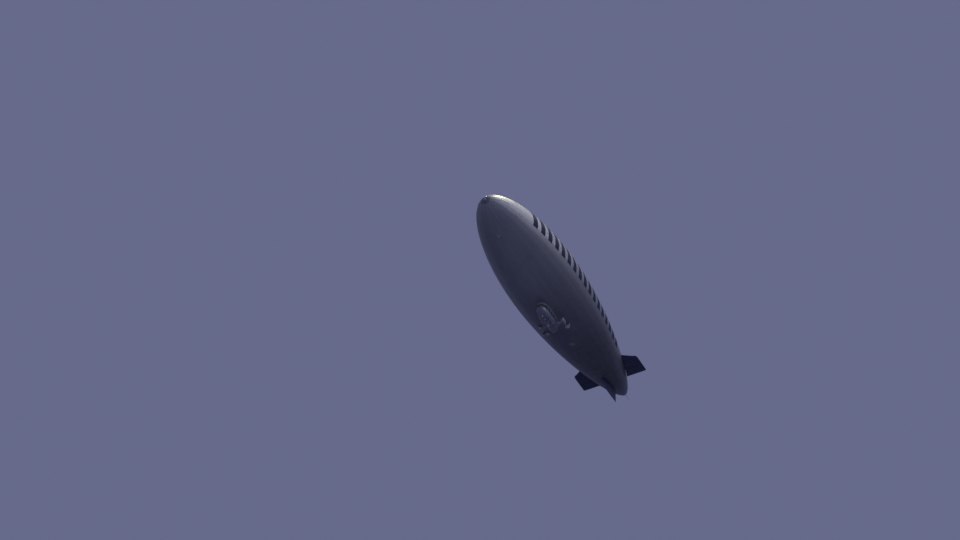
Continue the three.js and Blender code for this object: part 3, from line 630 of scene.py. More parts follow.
def nose_battens(metal, tape):
    """Rods that spread the nose's load over the cloth, each laced down under short straps."""
    rods = Shape()
    for angle in evenly(0, 360, BATTEN["count"] + 1)[:-1]:
        path = [(mix(CONE_PLACE * 0.8, BATTEN["reach"], (j / 14) ** 1.3), angle) for j in range(15)]
        hull_strip(rods, path, BATTEN["width"], BATTEN["height"], 0, ROUND_BAR)
        for place in evenly(0.3, BATTEN["reach"] - 0.03, BATTEN["straps"]):
            lap(rods, place, angle, 0.055, 0.03, STRAP, 1)
    rods.build("nose_batten_rods", "root", [metal, tape], replaces="nose_battens")


def hull_outline(first, last, out, count):
    """(x, radius) pairs of the envelope's side, moved out from the cloth, and closer together at first."""
    pairs = []
    for i in range(count):
        place = mix(first, last, (i / (count - 1)) ** 2)
        slope = hull_slope(place, 0.0002)
        length = math.hypot(slope, 1)
        pairs.append((NOSE_X - place + out * slope / length, hull_radius(place) + out / length))
    return pairs


def nose_dish(paint, steel):
    """The dished nose cone with its bolted rim and eight ribs."""
    shape = Shape()
    outer = hull_outline(0.0004, CONE_PLACE, CONE_PROUD, 18)
    inner = hull_outline(0.0004, CONE_PLACE * 1.01, BATTEN["height"] + 0.001, 12)
    rim_x, rim = outer[-1]
    lip = [(rim_x - 0.008, rim + 0.004), (rim_x - 0.02, rim + 0.001), (rim_x - 0.026, rim - 0.01)]
    profile = [(outer[0][0], 0.002)] + outer + lip + inner[::-1] + [(inner[0][0], 0.002)]
    shape.lathe(profile, ORIGIN, FORWARD, 64)
    for i in range(32):
        hull_dome(shape, CONE_PLACE * 0.8, 360 * i / 32, CONE_PROUD + 0.001, 0.009, 1)
    rib = ((-1, -0.004), (-0.6, 0.008), (0.6, 0.008), (1, -0.004))
    for i in range(8):
        angle = 45 * i + 22.5
        rings = []
        for place in evenly(0.009, CONE_PLACE * 0.62, 9):
            half = hull_arc(place, 0.012)
            rings.append([on_hull(place, angle + side * half, CONE_PROUD + up) for side, up in rib])
        shape.loft(rings)
    shape.build("nose_dish", "root", [paint, steel], replaces="nose_cone")


def nose_spindle(steel):
    """The mooring spindle: a bolted flange, a stem, and a collar that locks in a mast's cup."""
    shape = Shape()
    face = NOSE_X + CONE_PROUD
    stem = (
        (-0.02, 0.105), (0.01, 0.105), (0.014, 0.101), (0.014, 0.06), (0.022, 0.048), (0.05, 0.04),
        (0.21, 0.04), (0.222, 0.055), (0.23, 0.058), (0.262, 0.058), (0.27, 0.055),
    )
    tip = [(SPINDLE_END - 0.004, 0.042), (SPINDLE_END, 0.038)]
    shape.lathe([(face + along, radius) for along, radius in stem] + tip, ORIGIN, FORWARD, 40)
    for place in circle(Vector((face + 0.014, 0, 0)), 0.083, 8, PORT, UP):
        shape.lathe([(0, 0.011), (0.008, 0.011), (0.009, 0.009)], place, FORWARD, 6)
    shape.tube([(face + 0.13, -0.052, 0), (face + 0.13, 0.052, 0)], 0.009)
    shape.build("mooring_spindle_bar", "root", steel, replaces="mooring_spindle", bevel=0.0015)


VALVES = (("front_air_valve", 2.75, -90), ("rear_air_valve", 17.6, -90), ("gas_valve", 19.4, 152))
VALVE_FLANGE = ((-0.03, 0.3), (0.008, 0.3), (0.014, 0.296), (0.018, 0.262), (0.022, 0.252), (-0.03, 0.25))
VALVE_SEAT = ((-0.01, 0.25), (0.02, 0.25), (0.024, 0.243), (0.02, 0.234), (-0.01, 0.234))
VALVE_PLATE = (
    (-0.05, 0.232), (0.004, 0.232), (0.01, 0.225), (0.008, 0.17), (0.014, 0.165), (0.016, 0.05),
    (0.027, 0.045), (0.029, 0.02),
)


def valve_cover(name, place, angle, paint, rubber, steel):
    """A round valve: a bolted flange, a rubber seat, a dished plate and three spring arms."""
    shape = Shape()
    centre, out = on_hull(place, angle), out_of_hull(place, angle)
    for profile, look in ((VALVE_FLANGE, 0), (VALVE_SEAT, 1), (VALVE_PLATE, 0)):
        shape.lathe(profile, centre, out, 56, look)
    side = out.orthogonal().normalized()
    up = out.cross(side)
    for bolt in circle(centre + out * 0.016, 0.28, 24, side, up, 0.5):
        shape.dome(bolt, out, 0.007, 2)
    for arm in circle(ORIGIN, 1, 3, side, up):
        ends = ((0.024, 0.03), (0.028, 0.15), (0.02, 0.268))
        shape.tube([centre + out * high + arm * reach for high, reach in ends], 0.006, 8, 2)
    shape.build(name + "_cover", "root", [paint, rubber, steel], replaces=name)


TAIL_PROUD = 0.024
TAIL_EDGE = HULL_LENGTH - 0.17
TAIL_END = NOSE_X - HULL_LENGTH - TAIL_PROUD
BOOM = {"radius": 0.013, "length": 1.13, "hook": 0.07, "collar": 0.42}


def tail_cap(paint, steel):
    cap = Shape()
    steps = [mix(TAIL_EDGE, HULL_LENGTH, math.sin(math.pi / 2 * i / 12)) for i in range(12)]
    steps.append(HULL_LENGTH - 0.0003)
    outer, inner = ([tuple(on_hull(place, 0, out).xy) for place in steps] for out in (TAIL_PROUD, 0.0005))
    profile = [(TAIL_END, 0.002)] + outer[::-1] + inner + [(TAIL_END + TAIL_PROUD, 0.002)]
    cap.lathe(profile, ORIGIN, FORWARD, 56)
    for i in range(20):
        hull_dome(cap, TAIL_EDGE + 0.03, 18 * i, TAIL_PROUD + 0.001, 0.008, 1)
    cap.build("tail_cap_bowl", "root", [paint, steel], replaces="tail_cap")


def tail_boom(steel):
    """The thin boom at the tail with its flange, its hook and three stays to a collar."""
    boom = Shape()
    root = Vector((TAIL_END, 0, 0))
    tip = root - FORWARD * BOOM["length"]
    collar = root - FORWARD * BOOM["collar"]
    flange = [(0.004, 0.06), (-0.01, 0.06), (-0.014, 0.055), (-0.02, 0.022), (-0.07, 0.018)]
    boom.lathe(flange, root, FORWARD, 24)
    boom.tube([root, root - FORWARD * 0.3, tip], [0.017, 0.0155, BOOM["radius"] * 0.8], 16)
    bend = ((0.004, 0), (-0.008, -0.01), (-0.018, -0.035), (-0.03, -BOOM["hook"]))
    hook = [tip + Vector((x, 0, z)) for x, z in bend]
    boom.tube(hook, BOOM["radius"] * 0.75, 12)
    boom.dome(hook[-1], -UP, 0.013, 0, 10)
    for i in range(3):
        boom.tube([on_hull(TAIL_EDGE + 0.1, 120 * i + 90, TAIL_PROUD), collar], 0.003, 6)
    boom.lathe([(-0.02, 0.019), (0.02, 0.019)], collar, FORWARD, 16)
    boom.build("tail_boom_rod", "root", steel, replaces="tail_boom")


# Fin bracing


STAY_SETS = (  # the first wires end where the CAD's do, and the others lie inside them
    {"on_fin": 0.72, "chord": 25.55, "feet": (24.5, 26.3), "spread": 39.375},
    {"on_fin": 0.4, "chord": 25.2, "feet": (24.75, 25.7), "spread": 27.0},
)


def finger_patch(shape, place, angle, heading, look):
    """Cloth fingers that spread a wire's pull over the envelope, fanned about a heading in degrees."""
    for i in range(-2, 3):
        turn = math.radians(heading + i * 17)
        path = []
        for step in range(4):
            reach = 0.02 + 0.085 * step * (1 - 0.08 * abs(i))
            path.append((place + reach * math.cos(turn), angle + hull_arc(place, reach * math.sin(turn))))
        hull_strip(shape, path, 0.032, 0.004, look)
    hull_strip(shape, [(place - 0.035, angle), (place + 0.035, angle)], 0.07, 0.006, look)


def fin_stays(name, turn, tip, number, steel, tape):
    """The wires on one side of a fin, with their plates, turnbuckles and patches."""
    side = 1 if number == 1 else -1
    shape = Shape()
    for wires in STAY_SETS:
        span = mix(FIN["lead_span"], tip, wires["on_fin"])
        x = NOSE_X - wires["chord"]
        half = fin_half(span, tip)
        plate = [(-0.008, 0.033), (0.003, 0.033), (0.005, 0.03), (0.006, 0.012), (0.014, 0.01)]
        shape.lathe(plate, turned((x, span, side * half), turn), turned((0, 0, side), turn), 20)
        for way, place in zip((1, -1), wires["feet"]):
            angle = turn + side * wires["spread"]
            start = turned((x + way * 0.016, span, side * (half + 0.007)), turn)
            foot = on_hull(place, angle, 0.008)
            shape.tube([start, foot], 0.0035, 8)
            shape.lathe([(0.12, 0.004), (0.13, 0.008), (0.24, 0.008), (0.25, 0.004)], foot, start - foot, 10)
            shape.lathe([(-0.012, 0.02), (0.004, 0.02), (0.02, 0.006)], foot, out_of_hull(place, angle), 16)
            heading = math.degrees(math.atan2(side * 0.9, NOSE_X - place - x))
            finger_patch(shape, place, angle, heading, 1)
    node_name = f"{name}_fin_stay_{number}"
    shape.build(node_name + "_wires", "root", [steel, tape], replaces=node_name)


# Fins. Distances are from the nose, and spans are from the envelope's axis.


FIN = {
    "lead_root": 24.05, "lead_span": 2.05, "sweep": 0.65, "corner": 0.3, "corner_run": 0.4,
    "hinge": 26.15, "trail": 27.1, "root_half": 0.062, "tip_half": 0.04,
}
FINS = (
    ("port", "port_elevator", 0, 3.35),
    ("starboard", "starboard_elevator", 180, 3.35),
    ("upper", "upper_rudder", 90, 3.5),
    ("lower", "lower_rudder", -90, 2.85),
)
SWING = 0.008
LUG = {"share": 0.62, "half": 0.01, "gap": 0.0003}  # its reach as a share of the fin's half thickness
LEAST_HALF = 0.006  # of a control surface's thickness, at its trailing edge
RIBS = 7
RIB_PLACES = [i / RIBS for i in range(1, RIBS)]


def fin_lead(span, tip):
    """Distance from the nose of the leading edge, with its round tip corner."""
    start = tip - FIN["corner"]
    straight = FIN["lead_root"] + FIN["sweep"] * (min(span, start) - FIN["lead_span"])
    share = min(max((span - start) / FIN["corner"], 0), 1)
    return straight + FIN["corner_run"] * (1 - math.sqrt(1 - share * share))


def fin_half(span, tip):
    return mix(FIN["root_half"], FIN["tip_half"], (span - FIN["lead_span"]) / (tip - FIN["lead_span"]))


def turned(point, turn):
    """A point of a fin that lies along +Y, turned about the envelope's axis."""
    c, s = math.cos(math.radians(turn)), math.sin(math.radians(turn))
    x, y, z = point
    return Vector((x, y * c - z * s, y * s + z * c))


def tip_round(span, tip, least, over=0.06):
    share = max(span - (tip - over), 0) / over
    return mix(least, 1, math.sqrt(max(1 - share * share, 0)))


def sag(span, tip):
    """The cloth sinks a little between two ribs."""
    return 1 - 0.07 * math.sin(math.pi * RIBS * (span - 2.0) / (tip - 2.0)) ** 2


def fin_rear(span, tip):
    return FIN["hinge"] - fin_half(span, tip) - SWING


def fin_point(share, along, tip, sunk=0.006):
    """Distance from the nose and span, at a share of the chord and a share of the way from hull to tip."""
    root = FIN["lead_span"]
    for _ in range(6):
        place = mix(fin_lead(root, tip), fin_rear(root, tip), share)
        root = hull_radius(place) - sunk
    span = mix(root, tip, along)
    return mix(fin_lead(span, tip), fin_rear(span, tip), share), span


def fin_place(share, along, tip):
    """X, span and half thickness of a fin's fixed part, before its cloth sags."""
    place, span = fin_point(share, along, tip)
    front = min(share / 0.35, 1)
    half = fin_half(span, tip) * math.sqrt(1 - (1 - front) ** 2) * tip_round(span, tip, 0.35)
    return NOSE_X - place, span, half


def fin_body(name, turn, tip, cloth):
    """The fixed part: a rounded leading edge, flat sides, a rib under the cloth at each step, and lugs."""
    shape = Shape()
    shares = (0, 0.006, 0.02, 0.045, 0.08, 0.13, 0.2, 0.3, 0.42, 0.55, 0.7, 0.85, 1.0)
    rings = []
    for along in evenly(0, 1, 57):
        upper = []
        for share in shares:
            x, span, half = fin_place(share, along, tip)
            half *= sag(span, tip) if 0.05 < share < 0.98 else 1
            upper.append((x, span, max(half, 0.0015)))
        lower = [(x, y, -z) for x, y, z in reversed(upper)]
        rings.append([turned(point, turn) for point in upper + lower])
    shape.loft(rings)
    x = NOSE_X - FIN["hinge"]
    for span in hinge_spans(tip):
        reach = fin_half(span, tip) * LUG["share"]
        end = [(x - reach * math.sin(a), -math.cos(a)) for a in (0.5, 1.0, 1.57, 2.1, 2.6)]
        profile = [(x + 0.14, -1), (x, -1), *end, (x, 1), (x + 0.14, 1)]
        shape.loft([[turned((px, y, pz * reach), turn) for px, pz in profile]
                    for y in (span - LUG["half"], span + LUG["half"])], 1)
    shape.build(name + "_fin_body", "root", cloth, replaces=name + "_fin")


def hinge_spans(tip):
    root = hull_radius(FIN["hinge"])
    return [mix(root, tip, share) for share in (0.2, 0.52, 0.86)]


def surface_inner(x):
    """Span of a control surface's inner edge, a little clear of the envelope."""
    front = (NOSE_X - FIN["hinge"] + 0.2, hull_radius(FIN["hinge"] - 0.2) + 0.04)
    rear = (NOSE_X - FIN["trail"] - 0.2, hull_radius(FIN["trail"] + 0.2) + 0.06)
    return mix(front[1], rear[1], (front[0] - x) / (front[0] - rear[0]))


def surface_place(share, along, tip):
    """X, span and half thickness of a control surface, before its tip is rounded."""
    x = NOSE_X - mix(FIN["hinge"], FIN["trail"], share)
    span = mix(surface_inner(x), tip, along)
    return x, span, mix(fin_half(span, tip), LEAST_HALF, share) * (sag(span, tip) if share < 0.95 else 1)


def control_surface(name, turn, tip, cloth):
    """A wedge of cloth over ribs, round at its hinge line and thin behind, with slots for the lugs."""
    shape = Shape()
    hinge = NOSE_X - FIN["hinge"]
    rings = []
    for along in evenly(0, 1, 41):
        span = mix(surface_inner(hinge), tip, along)
        half = fin_half(span, tip) * tip_round(span, tip, 0.5)
        upper = []
        for bend in (75, 60, 45, 30, 15, 0):
            x = hinge + half * math.sin(math.radians(bend))
            upper.append((x, mix(surface_inner(x), tip, along), half * math.cos(math.radians(bend))))
        for share in (0.04, 0.12, 0.25, 0.4, 0.55, 0.7, 0.85, 0.97, 1.0):
            x = NOSE_X - mix(FIN["hinge"], FIN["trail"], share)
            if along > 0.93:
                x += 0.06 * share * ((along - 0.93) / 0.07) ** 2
            span = mix(surface_inner(x), tip, along)
            half = mix(fin_half(span, tip), LEAST_HALF, share) * tip_round(span, tip, 0.5)
            upper.append((x, span, half * (sag(span, tip) if share < 0.95 else 1)))
        span = upper[0][1]
        nose = (hinge + fin_half(span, tip) * tip_round(span, tip, 0.5), span, 0)
        lower = [(x, y, -z) for x, y, z in reversed(upper)]
        rings.append([turned(point, turn) for point in [nose] + upper + lower])
    shape.loft(rings)
    piece = shape.build(name + "_cover", name, cloth, replaces=name)
    slots = Shape()
    wide = LUG["half"] + LUG["gap"]
    for span in hinge_spans(tip):
        deep = hinge - fin_half(span, tip) * LUG["share"] - SWING
        low, high, rear = span - wide, span + wide, hinge + 0.2
        corners = ((deep, low), (rear, low), (rear, high), (deep, high))
        slots.loft([[turned((x, y, z), turn) for x, y in corners] for z in (-0.2, 0.2)])
    carve(piece, slots)


# Fittings on the fins and the envelope


RIB_TAPE = {"width": 0.03, "proud": 0.0022}
TRIM_TAB = {"first": 0.35, "last": 0.65, "chord": 0.22}


def fin_fittings(name, turn, tip, tape, steel, lamp):
    """Rib tapes, edge tapes, a root strip and a tip lamp on a fin's fixed part."""
    shape = Shape()

    def tape_over(places, side, width):
        points = [fin_place(share, along, tip) for share, along in places]
        points = [turned((x, span, side * half * sag(span, tip)), turn) for x, span, half in points]
        shape.strip(points, [turned((0, 0, side), turn)] * len(points), width, RIB_TAPE["proud"])

    for side in (1, -1):
        for along in RIB_PLACES:
            shares = (0.03, 0.06, 0.1, 0.16, 0.24, 0.35, 0.5, 0.65, 0.8, 0.97)
            tape_over([(share, along) for share in shares], side, RIB_TAPE["width"])
        for share, first, last in ((0.985, 0.03, 0.97), (0.06, 0.03, 0.88)):
            tape_over([(share, along) for along in evenly(first, last, 41)], side, 0.035)
        root = []
        for share in evenly(0.04, 0.99, 41):
            place, _ = fin_point(share, 0.0, tip)
            root.append((place, turn + side * hull_arc(place, FIN["root_half"] * 1.5 + 0.02)))
        hull_strip(shape, root, 0.1, 0.004)
        for place, angle in root[::2]:
            hull_dome(shape, place, angle, 0.005, 0.006, 1)
    if lamp:
        base = turned((NOSE_X - fin_lead(tip - 0.3, tip) - 0.25, tip, 0), turn)
        out = turned(PORT, turn)
        shape.lathe([(-0.01, 0.022), (0.004, 0.022), (0.008, 0.018)], base, out, 20, 1)
        shape.lathe([(0.006, 0.017), (0.02, 0.015), (0.028, 0.008)], base, out, 20, 2)
    shape.build(name + "_fin_fittings", "root", [tape, steel] + ([lamp] if lamp else []))


def surface_fittings(name, turn, tip, tape, steel, dark):
    """Rib tapes, the lines of a trim tab and a horn on both faces of a control surface."""
    shape = Shape()

    def point(share, along, side):
        x, span, half = surface_place(share, along, tip)
        return turned((x, span, side * half), turn)

    first, last = TRIM_TAB["first"], TRIM_TAB["last"]
    line = 1 - TRIM_TAB["chord"] / (FIN["trail"] - FIN["hinge"])
    wide = turned((0, 0.006, 0), turn)
    for side in (1, -1):
        out = turned((0, 0, side), turn)
        outs = [out] * 13
        for along in RIB_PLACES:
            path = [point(share, along, side) for share in (0.05, 0.2, 0.4, 0.6, 0.8, 0.96)]
            shape.strip(path, outs, 0.028, RIB_TAPE["proud"])
        shape.strip([point(line, along, side) for along in evenly(first, last, 13)], outs, 0.012, 0.0016, 2)
        for along in (first, last):
            path = [point(share, along, side) for share in evenly(line, 0.985, 6)]
            shape.strip(path, outs, 0.008, 0.0016, 2)
        foot, rear = point(0.09, 0.53, side), point(0.2, 0.53, side)
        head = foot + out * 0.13 + FORWARD * 0.02
        horn = (foot - out * 0.01, rear - out * 0.01, head - FORWARD * 0.014, head + FORWARD * 0.014)
        shape.loft([[corner + shift for corner in horn] for shift in (wide, -wide)], 1)
        shape.tube([head - wide * 2, head + wide * 2], 0.006, 8, 1)
    shape.build(name + "_fittings", name, [tape, steel, dark])


NOSE_LINES = {"count": 8, "place": 2.3, "ring": 0.035}
PATCHES = (  # place, angle and radius of round patches
    (6.0, -62, 0.24), (6.0, -118, 0.24), (14.8, -60, 0.28), (14.8, -120, 0.28),
    (20.5, 76, 0.3), (9.0, 84, 0.26), (22.4, -90, 0.22),
)
WIRE_LAP = ((-1, 0.003), (-0.3, 0.006), (0, 0.014), (0.3, 0.006), (1, 0.003))
CURTAIN = {"start": 8.2, "pitch": 0.9, "count": 11, "reach": 1.62, "wave": 0.1, "finger": 0.5}


def round_patch(place, angle, radius):
    turn = hull_arc(place, radius)
    path = [(place + radius * math.cos(t), angle + math.sin(t) * turn) for t in full_turn(40)]
    return path + path[:1]


def curtain_tapes(shape):
    """The scalloped tapes and short fingers where the load curtains meet the cloth, on both sides."""
    for side in (1, -1):
        for i in range(CURTAIN["count"]):
            place = CURTAIN["start"] + CURTAIN["pitch"] * i
            ends = (CURTAIN["reach"], CURTAIN["reach"] + CURTAIN["finger"])
            hull_strip(shape, [(place, -90 + side * hull_arc(place, reach)) for reach in ends], 0.09, 0.004)
        scallops = []
        for place in evenly(7.7, 17.8, 181):
            wave = math.cos((place - CURTAIN["start"]) / CURTAIN["pitch"] * 2 * math.pi)
            scallops.append((place, -90 + side * hull_arc(place, CURTAIN["reach"] - CURTAIN["wave"] * wave)))
        hull_strip(shape, scallops, 0.07, 0.004)


def envelope_fittings(tape, steel, cord, dark):
    """Nose line patches with rings, round patches, a lightning wire along the top, and curtain tapes."""
    shape = Shape()
    place = NOSE_LINES["place"]
    for i in range(NOSE_LINES["count"]):
        angle = 45 * i + 22.5
        finger_patch(shape, place, angle, 0, 0)
        middle = on_hull(place - 0.05, angle, 0.02)
        ahead = (on_hull(place - 0.2, angle, 0.02) - middle).normalized()
        across = ahead.cross(out_of_hull(place, angle))
        shape.tube(circle(middle, NOSE_LINES["ring"], 20, ahead, across), 0.0055, 8, 1, loop=True)
    for place, angle, radius in PATCHES:
        hull_strip(shape, round_patch(place, angle, radius), 0.06, 0.005)
        hull_strip(shape, round_patch(place, angle, radius * 0.72), 0.012, 0.004, 3)
    for place in evenly(1.7, 23.9, 70)[::5]:
        lap(shape, place, 90, 0.06, 0.05, WIRE_LAP)
    shape.tube([on_hull(place, 90, 0.009) for place in evenly(1.6, 24.0, 121)], 0.004, 6, 1)
    curtain_tapes(shape)
    shape.build("envelope_fittings", "root", [tape, steel, cord, dark])


# Car. Its outline at each height is a superellipse, on which a turn says where a point lies.


CAR_CENTRE = 0.784
CAR_POWER = 2.8
CAR_WALL = 0.018
CAR_SIDES = 112
KEEL, CHINE, SILL, HEAD, CAR_TOP = -4.72, -4.52, -4.18, -3.74, -3.38
CAR_LEVELS = (  # height, reach to the front, reach to the rear, half width
    (KEEL, 1.15, 1.33, 0.33),
    (CHINE, 1.56, 1.62, 0.5),
    (SILL, 1.7, 1.7, 0.545),
    (HEAD, 1.6, 1.68, 0.535),
    (CAR_TOP, 1.5, 1.64, 0.5),
)
FLOOR_TOP = -4.48
ROOF_TOP = HEAD + 0.025


def level_rise(i, key):
    a, b = CAR_LEVELS[i], CAR_LEVELS[i + 1]
    return (b[key] - a[key]) / (b[0] - a[0])


def level_slope(i, key):
    """Slope at one level of the smooth curve through all: steep at the keel, upright at the widest."""
    if i == 0:
        return 1.5 * level_rise(0, key)
    if i == len(CAR_LEVELS) - 1:
        return level_rise(i - 1, key)
    below, above = level_rise(i - 1, key), level_rise(i, key)
    return 2 * below * above / (below + above) if below * above > 0 else 0.0


def car_level(z):
    """Reach to the front, reach to the rear and half width at a height."""
    i = max(j for j in range(len(CAR_LEVELS) - 1) if j == 0 or CAR_LEVELS[j][0] <= z)
    a, b = CAR_LEVELS[i], CAR_LEVELS[i + 1]
    step = b[0] - a[0]
    t = (z - a[0]) / step
    found = []
    for key in (1, 2, 3):
        start, end = level_slope(i, key) * step, level_slope(i + 1, key) * step
        near = (a[key] * (1 + 2 * t) + start * t) * (1 - t) ** 2
        far = (b[key] * (3 - 2 * t) - end * (1 - t)) * t**2
        found.append(near + far)
    return found


def car_point(turn, z, out=0.0):
    front, rear, half = car_level(z)
    c, s = math.cos(turn), math.sin(turn)
    reach = (front if c > 0 else rear) + out
    x = CAR_CENTRE + reach * bent(c, 2 / CAR_POWER)
    return Vector((x, (half + out) * bent(s, 2 / CAR_POWER), z))


def out_of_car(turn, z):
    return (car_point(turn, z, 0.01) - car_point(turn, z)).normalized()


def car_ring(z, out=0.0):
    return [car_point(turn, z, out) for turn in full_turn(CAR_SIDES)]


def car_rivet(shape, turn, z, radius, look, out=0.0):
    shape.dome(car_point(turn, z, out), out_of_car(turn, z), radius, look)


def car_turn(edge, z):
    """The turn of ("x", value, side) on one side, or of ("y", value, end) at the front or the rear."""
    kind, value, way = edge
    front, rear, half = car_level(z)
    if kind == "x":
        ahead = value - CAR_CENTRE
        share = min(abs(ahead) / (front if ahead > 0 else rear), 1) ** (CAR_POWER / 2)
        return way * math.acos(math.copysign(share, ahead))
    turn = math.copysign(math.asin((abs(value) / half) ** (CAR_POWER / 2)), value)
    return turn if way > 0 else math.pi - turn


def even_turns(z, spacing, first=0.0, last=2 * math.pi):
    """Turns that lie evenly along the outline at a height."""
    fine = evenly(first, last, 401)
    points = [car_point(turn, z) for turn in fine]
    lengths = [0.0]
    for a, b in zip(points, points[1:]):
        lengths.append(lengths[-1] + (b - a).length)
    count = max(round(lengths[-1] / spacing), 1)
    return [float(np.interp(lengths[-1] * i / count, lengths, fine)) for i in range(count)]


def opening(first, last, low, high, corner):
    """An opening in the car's wall: two upright edges, the heights of the others, and the corners' radius."""
    return {"edges": (first, last), "low": low, "high": high, "corner": corner}


WINDOW_LOW, WINDOW_HIGH = SILL + 0.034, HEAD - 0.034
WINDOW_HALF = 0.18
WINDOW_ROW = (1.5, 1.02, 0.54, 0.06)
DOOR_X = 1.02
DOOR_HALF = 0.2
DOOR_GAP = 0.006
DOOR_LOW, DOOR_HIGH = -4.47, HEAD - 0.02
DOOR_AXIS = (1.217, -0.561)
DOOR_HINGES = (-3.88, -4.34)
GLASS_OUT = -0.0183
GLASS_IN = -0.0233
LAP = 0.014
CUTTER = (0.05, -0.07)  # depths between which the openings are cut
BELT = 0.006
DOOR_BAY = opening(("x", DOOR_X + DOOR_HALF, -1), ("x", DOOR_X - DOOR_HALF, -1), DOOR_LOW, DOOR_HIGH, 0.06)
PANE_HALF = 0.149
PANE_EDGES = [("x", DOOR_X + reach, -1) for reach in (PANE_HALF, -PANE_HALF)]
DOOR_PANE = opening(*PANE_EDGES, WINDOW_LOW, WINDOW_HIGH - 0.03, 0.04)

# Sections round an opening: (out, grow) points
WINDOW_BEAD = (
    (0.003, -0.001), (0.004, 0.004), (0.003, 0.009), (-0.002, 0.01), (-0.018, -0.0005), (-0.018, -0.006),
)
WINDOW_RETAINER = (
    (-0.0236, -0.006), (-0.027, -0.007), (-0.03, -0.004), (-0.03, 0.02), (-0.0176, 0.028), (-0.0236, 0.02),
)
DOOR_RETAINER = ((-0.0236, -0.006), (-0.028, -0.005), (-0.028, 0.02), (-0.0176, 0.022), (-0.0236, 0.018))
DOOR_STOP = ((-0.017, 0.015), (-0.0205, -0.02), (-0.026, -0.02), (-0.026, 0.015))


def side_window(x, side):
    return opening(("x", x + WINDOW_HALF, side), ("x", x - WINDOW_HALF, side), WINDOW_LOW, WINDOW_HIGH, 0.05)


def car_windows():
    """Every opening of the window band, apart from the door's."""
    found = []
    for _, side in SIDES:
        found += [side_window(x, side) for x in WINDOW_ROW if side > 0 or x != DOOR_X]
        found.append(opening(("y", side * 0.018, 1), ("y", side * 0.164, 1), WINDOW_LOW, WINDOW_HIGH, 0.03))
        found.append(opening(("y", side * 0.2, 1), ("x", 1.77, side), WINDOW_LOW, WINDOW_HIGH, 0.045))
        found.append(opening(("y", side * 0.018, -1), ("y", side * 0.36, -1), WINDOW_LOW, WINDOW_HIGH, 0.045))
    return found


GLASS_STRIPS = (
    ("windshield_glass", ("x", 1.756, -1), ("x", 1.756, 1)),
    ("port_window_glass", ("x", 1.7, 1), ("x", -0.14, 1)),
    ("starboard_front_window_glass", ("x", 1.7, -1), ("x", 1.3, -1)),
    ("starboard_rear_window_glass", ("x", 0.74, -1), ("x", -0.14, -1)),
    ("rear_window_glass", ("x", -0.626, 1), ("x", -0.626, -1)),
)


def edge_turns(window, z):
    first, last = (car_turn(edge, z) for edge in window["edges"])
    if last < first:
        return (last, first) if first - last < math.pi else (first, last + 2 * math.pi)
    return first, last


def window_point(window, share, z, out):
    first, last = edge_turns(window, z)
    return car_point(mix(first, last, share), z, out)


def columns(window, grow=0.0, count=12):
    """(share across, low, high) of upright lines over a window with round corners, grown on every side."""
    middle = (window["low"] + window["high"]) / 2
    row = [window_point(window, share, middle, 0) for share in evenly(0, 1, 25)]
    width = sum((b - a).length for a, b in zip(row, row[1:]))
    low, high = window["low"] - grow, window["high"] + grow
    radius = window["corner"] + grow
    total = width + 2 * grow
    bends = [math.radians(15 * i) for i in range(7)]
    corner = [(radius * (1 - math.cos(bend)), radius * (1 - math.sin(bend))) for bend in bends]
    marks = corner + [(mix(radius, total - radius, i / count), 0.0) for i in range(1, count)]
    marks += [(total - across, cut) for across, cut in reversed(corner)]
    return [((across - grow) / width, low + cut, high - cut) for across, cut in marks]


def panel(shape, window, outer, inner, grow=0.0, look=0, count=12, rows=8):
    """A curved plate between two depths, with a window's outline."""
    rings = []
    for share, low, high in columns(window, grow, count):
        heights = evenly(low, high, rows + 1)
        ring = [window_point(window, share, z, outer) for z in heights]
        ring += [window_point(window, share, z, inner) for z in reversed(heights)]
        rings.append(ring)
    shape.loft(rings, look)


def outline(window, out, grow=0.0, count=12, rows=6):
    """The closed line round a window."""
    marks = columns(window, grow, count)
    path = [window_point(window, share, low, out) for share, low, _ in marks]
    share, low, high = marks[-1]
    path += [window_point(window, share, mix(low, high, i / rows), out) for i in range(1, rows)]
    path += [window_point(window, share, high, out) for share, _, high in reversed(marks)]
    share, low, high = marks[0]
    path += [window_point(window, share, mix(high, low, i / rows), out) for i in range(1, rows)]
    return path


def border(shape, window, section, look=0):
    """A frame round a window, from (out, grow) points of its section."""
    shape.loft([outline(window, out, grow) for out, grow in section], look, loop=True)


def belt(shape, z, radius, out=0.0, look=0, first=0.0, last=2 * math.pi):
    """A half-round moulding along the car's side."""
    closed = last - first > 6.28
    turns = even_turns(z, 0.05, first, last) + ([] if closed else [last])
    shape.tube([car_point(turn, z, out) for turn in turns], radius, 8, look, loop=closed)


def line_inside(piece, look):
    """Gives the faces that look into the cabin another material."""
    for face in piece.data.polygons:
        middle = Vector((CAR_CENTRE, 0, face.center.z))
        inwards = Vector((middle - face.center).xy.to_3d())
        along = Vector((max(abs(inwards.x) - 1.1, 0) * math.copysign(1, inwards.x), inwards.y, 0))
        if along.length and face.normal.dot(along.normalized()) > 0.6:
            face.material_index = look


def car_shell(paint, lining):
    """The lower shell: round at the keel, with its wall inside, and the door's opening cut in it."""
    shape = Shape()
    outer = [(KEEL, -0.06), (KEEL, -0.02), (KEEL + 0.003, -0.008), (KEEL + 0.01, -0.002)]
    outer += [(z, 0.0) for z in evenly(KEEL + 0.02, SILL, 15)]
    inner = [(z, -CAR_WALL) for z in evenly(SILL, KEEL + 0.04, 13)] + [(KEEL + CAR_WALL, -0.06)]
    shape.loft([car_ring(z, out) for z, out in outer + inner])
    shell = shape.build("car_lower_skin", "root", [paint, lining], replaces="car_lower_shell")
    door = Shape()
    panel(door, DOOR_BAY, *CUTTER)
    carve(shell, door)
    line_inside(shell, 1)


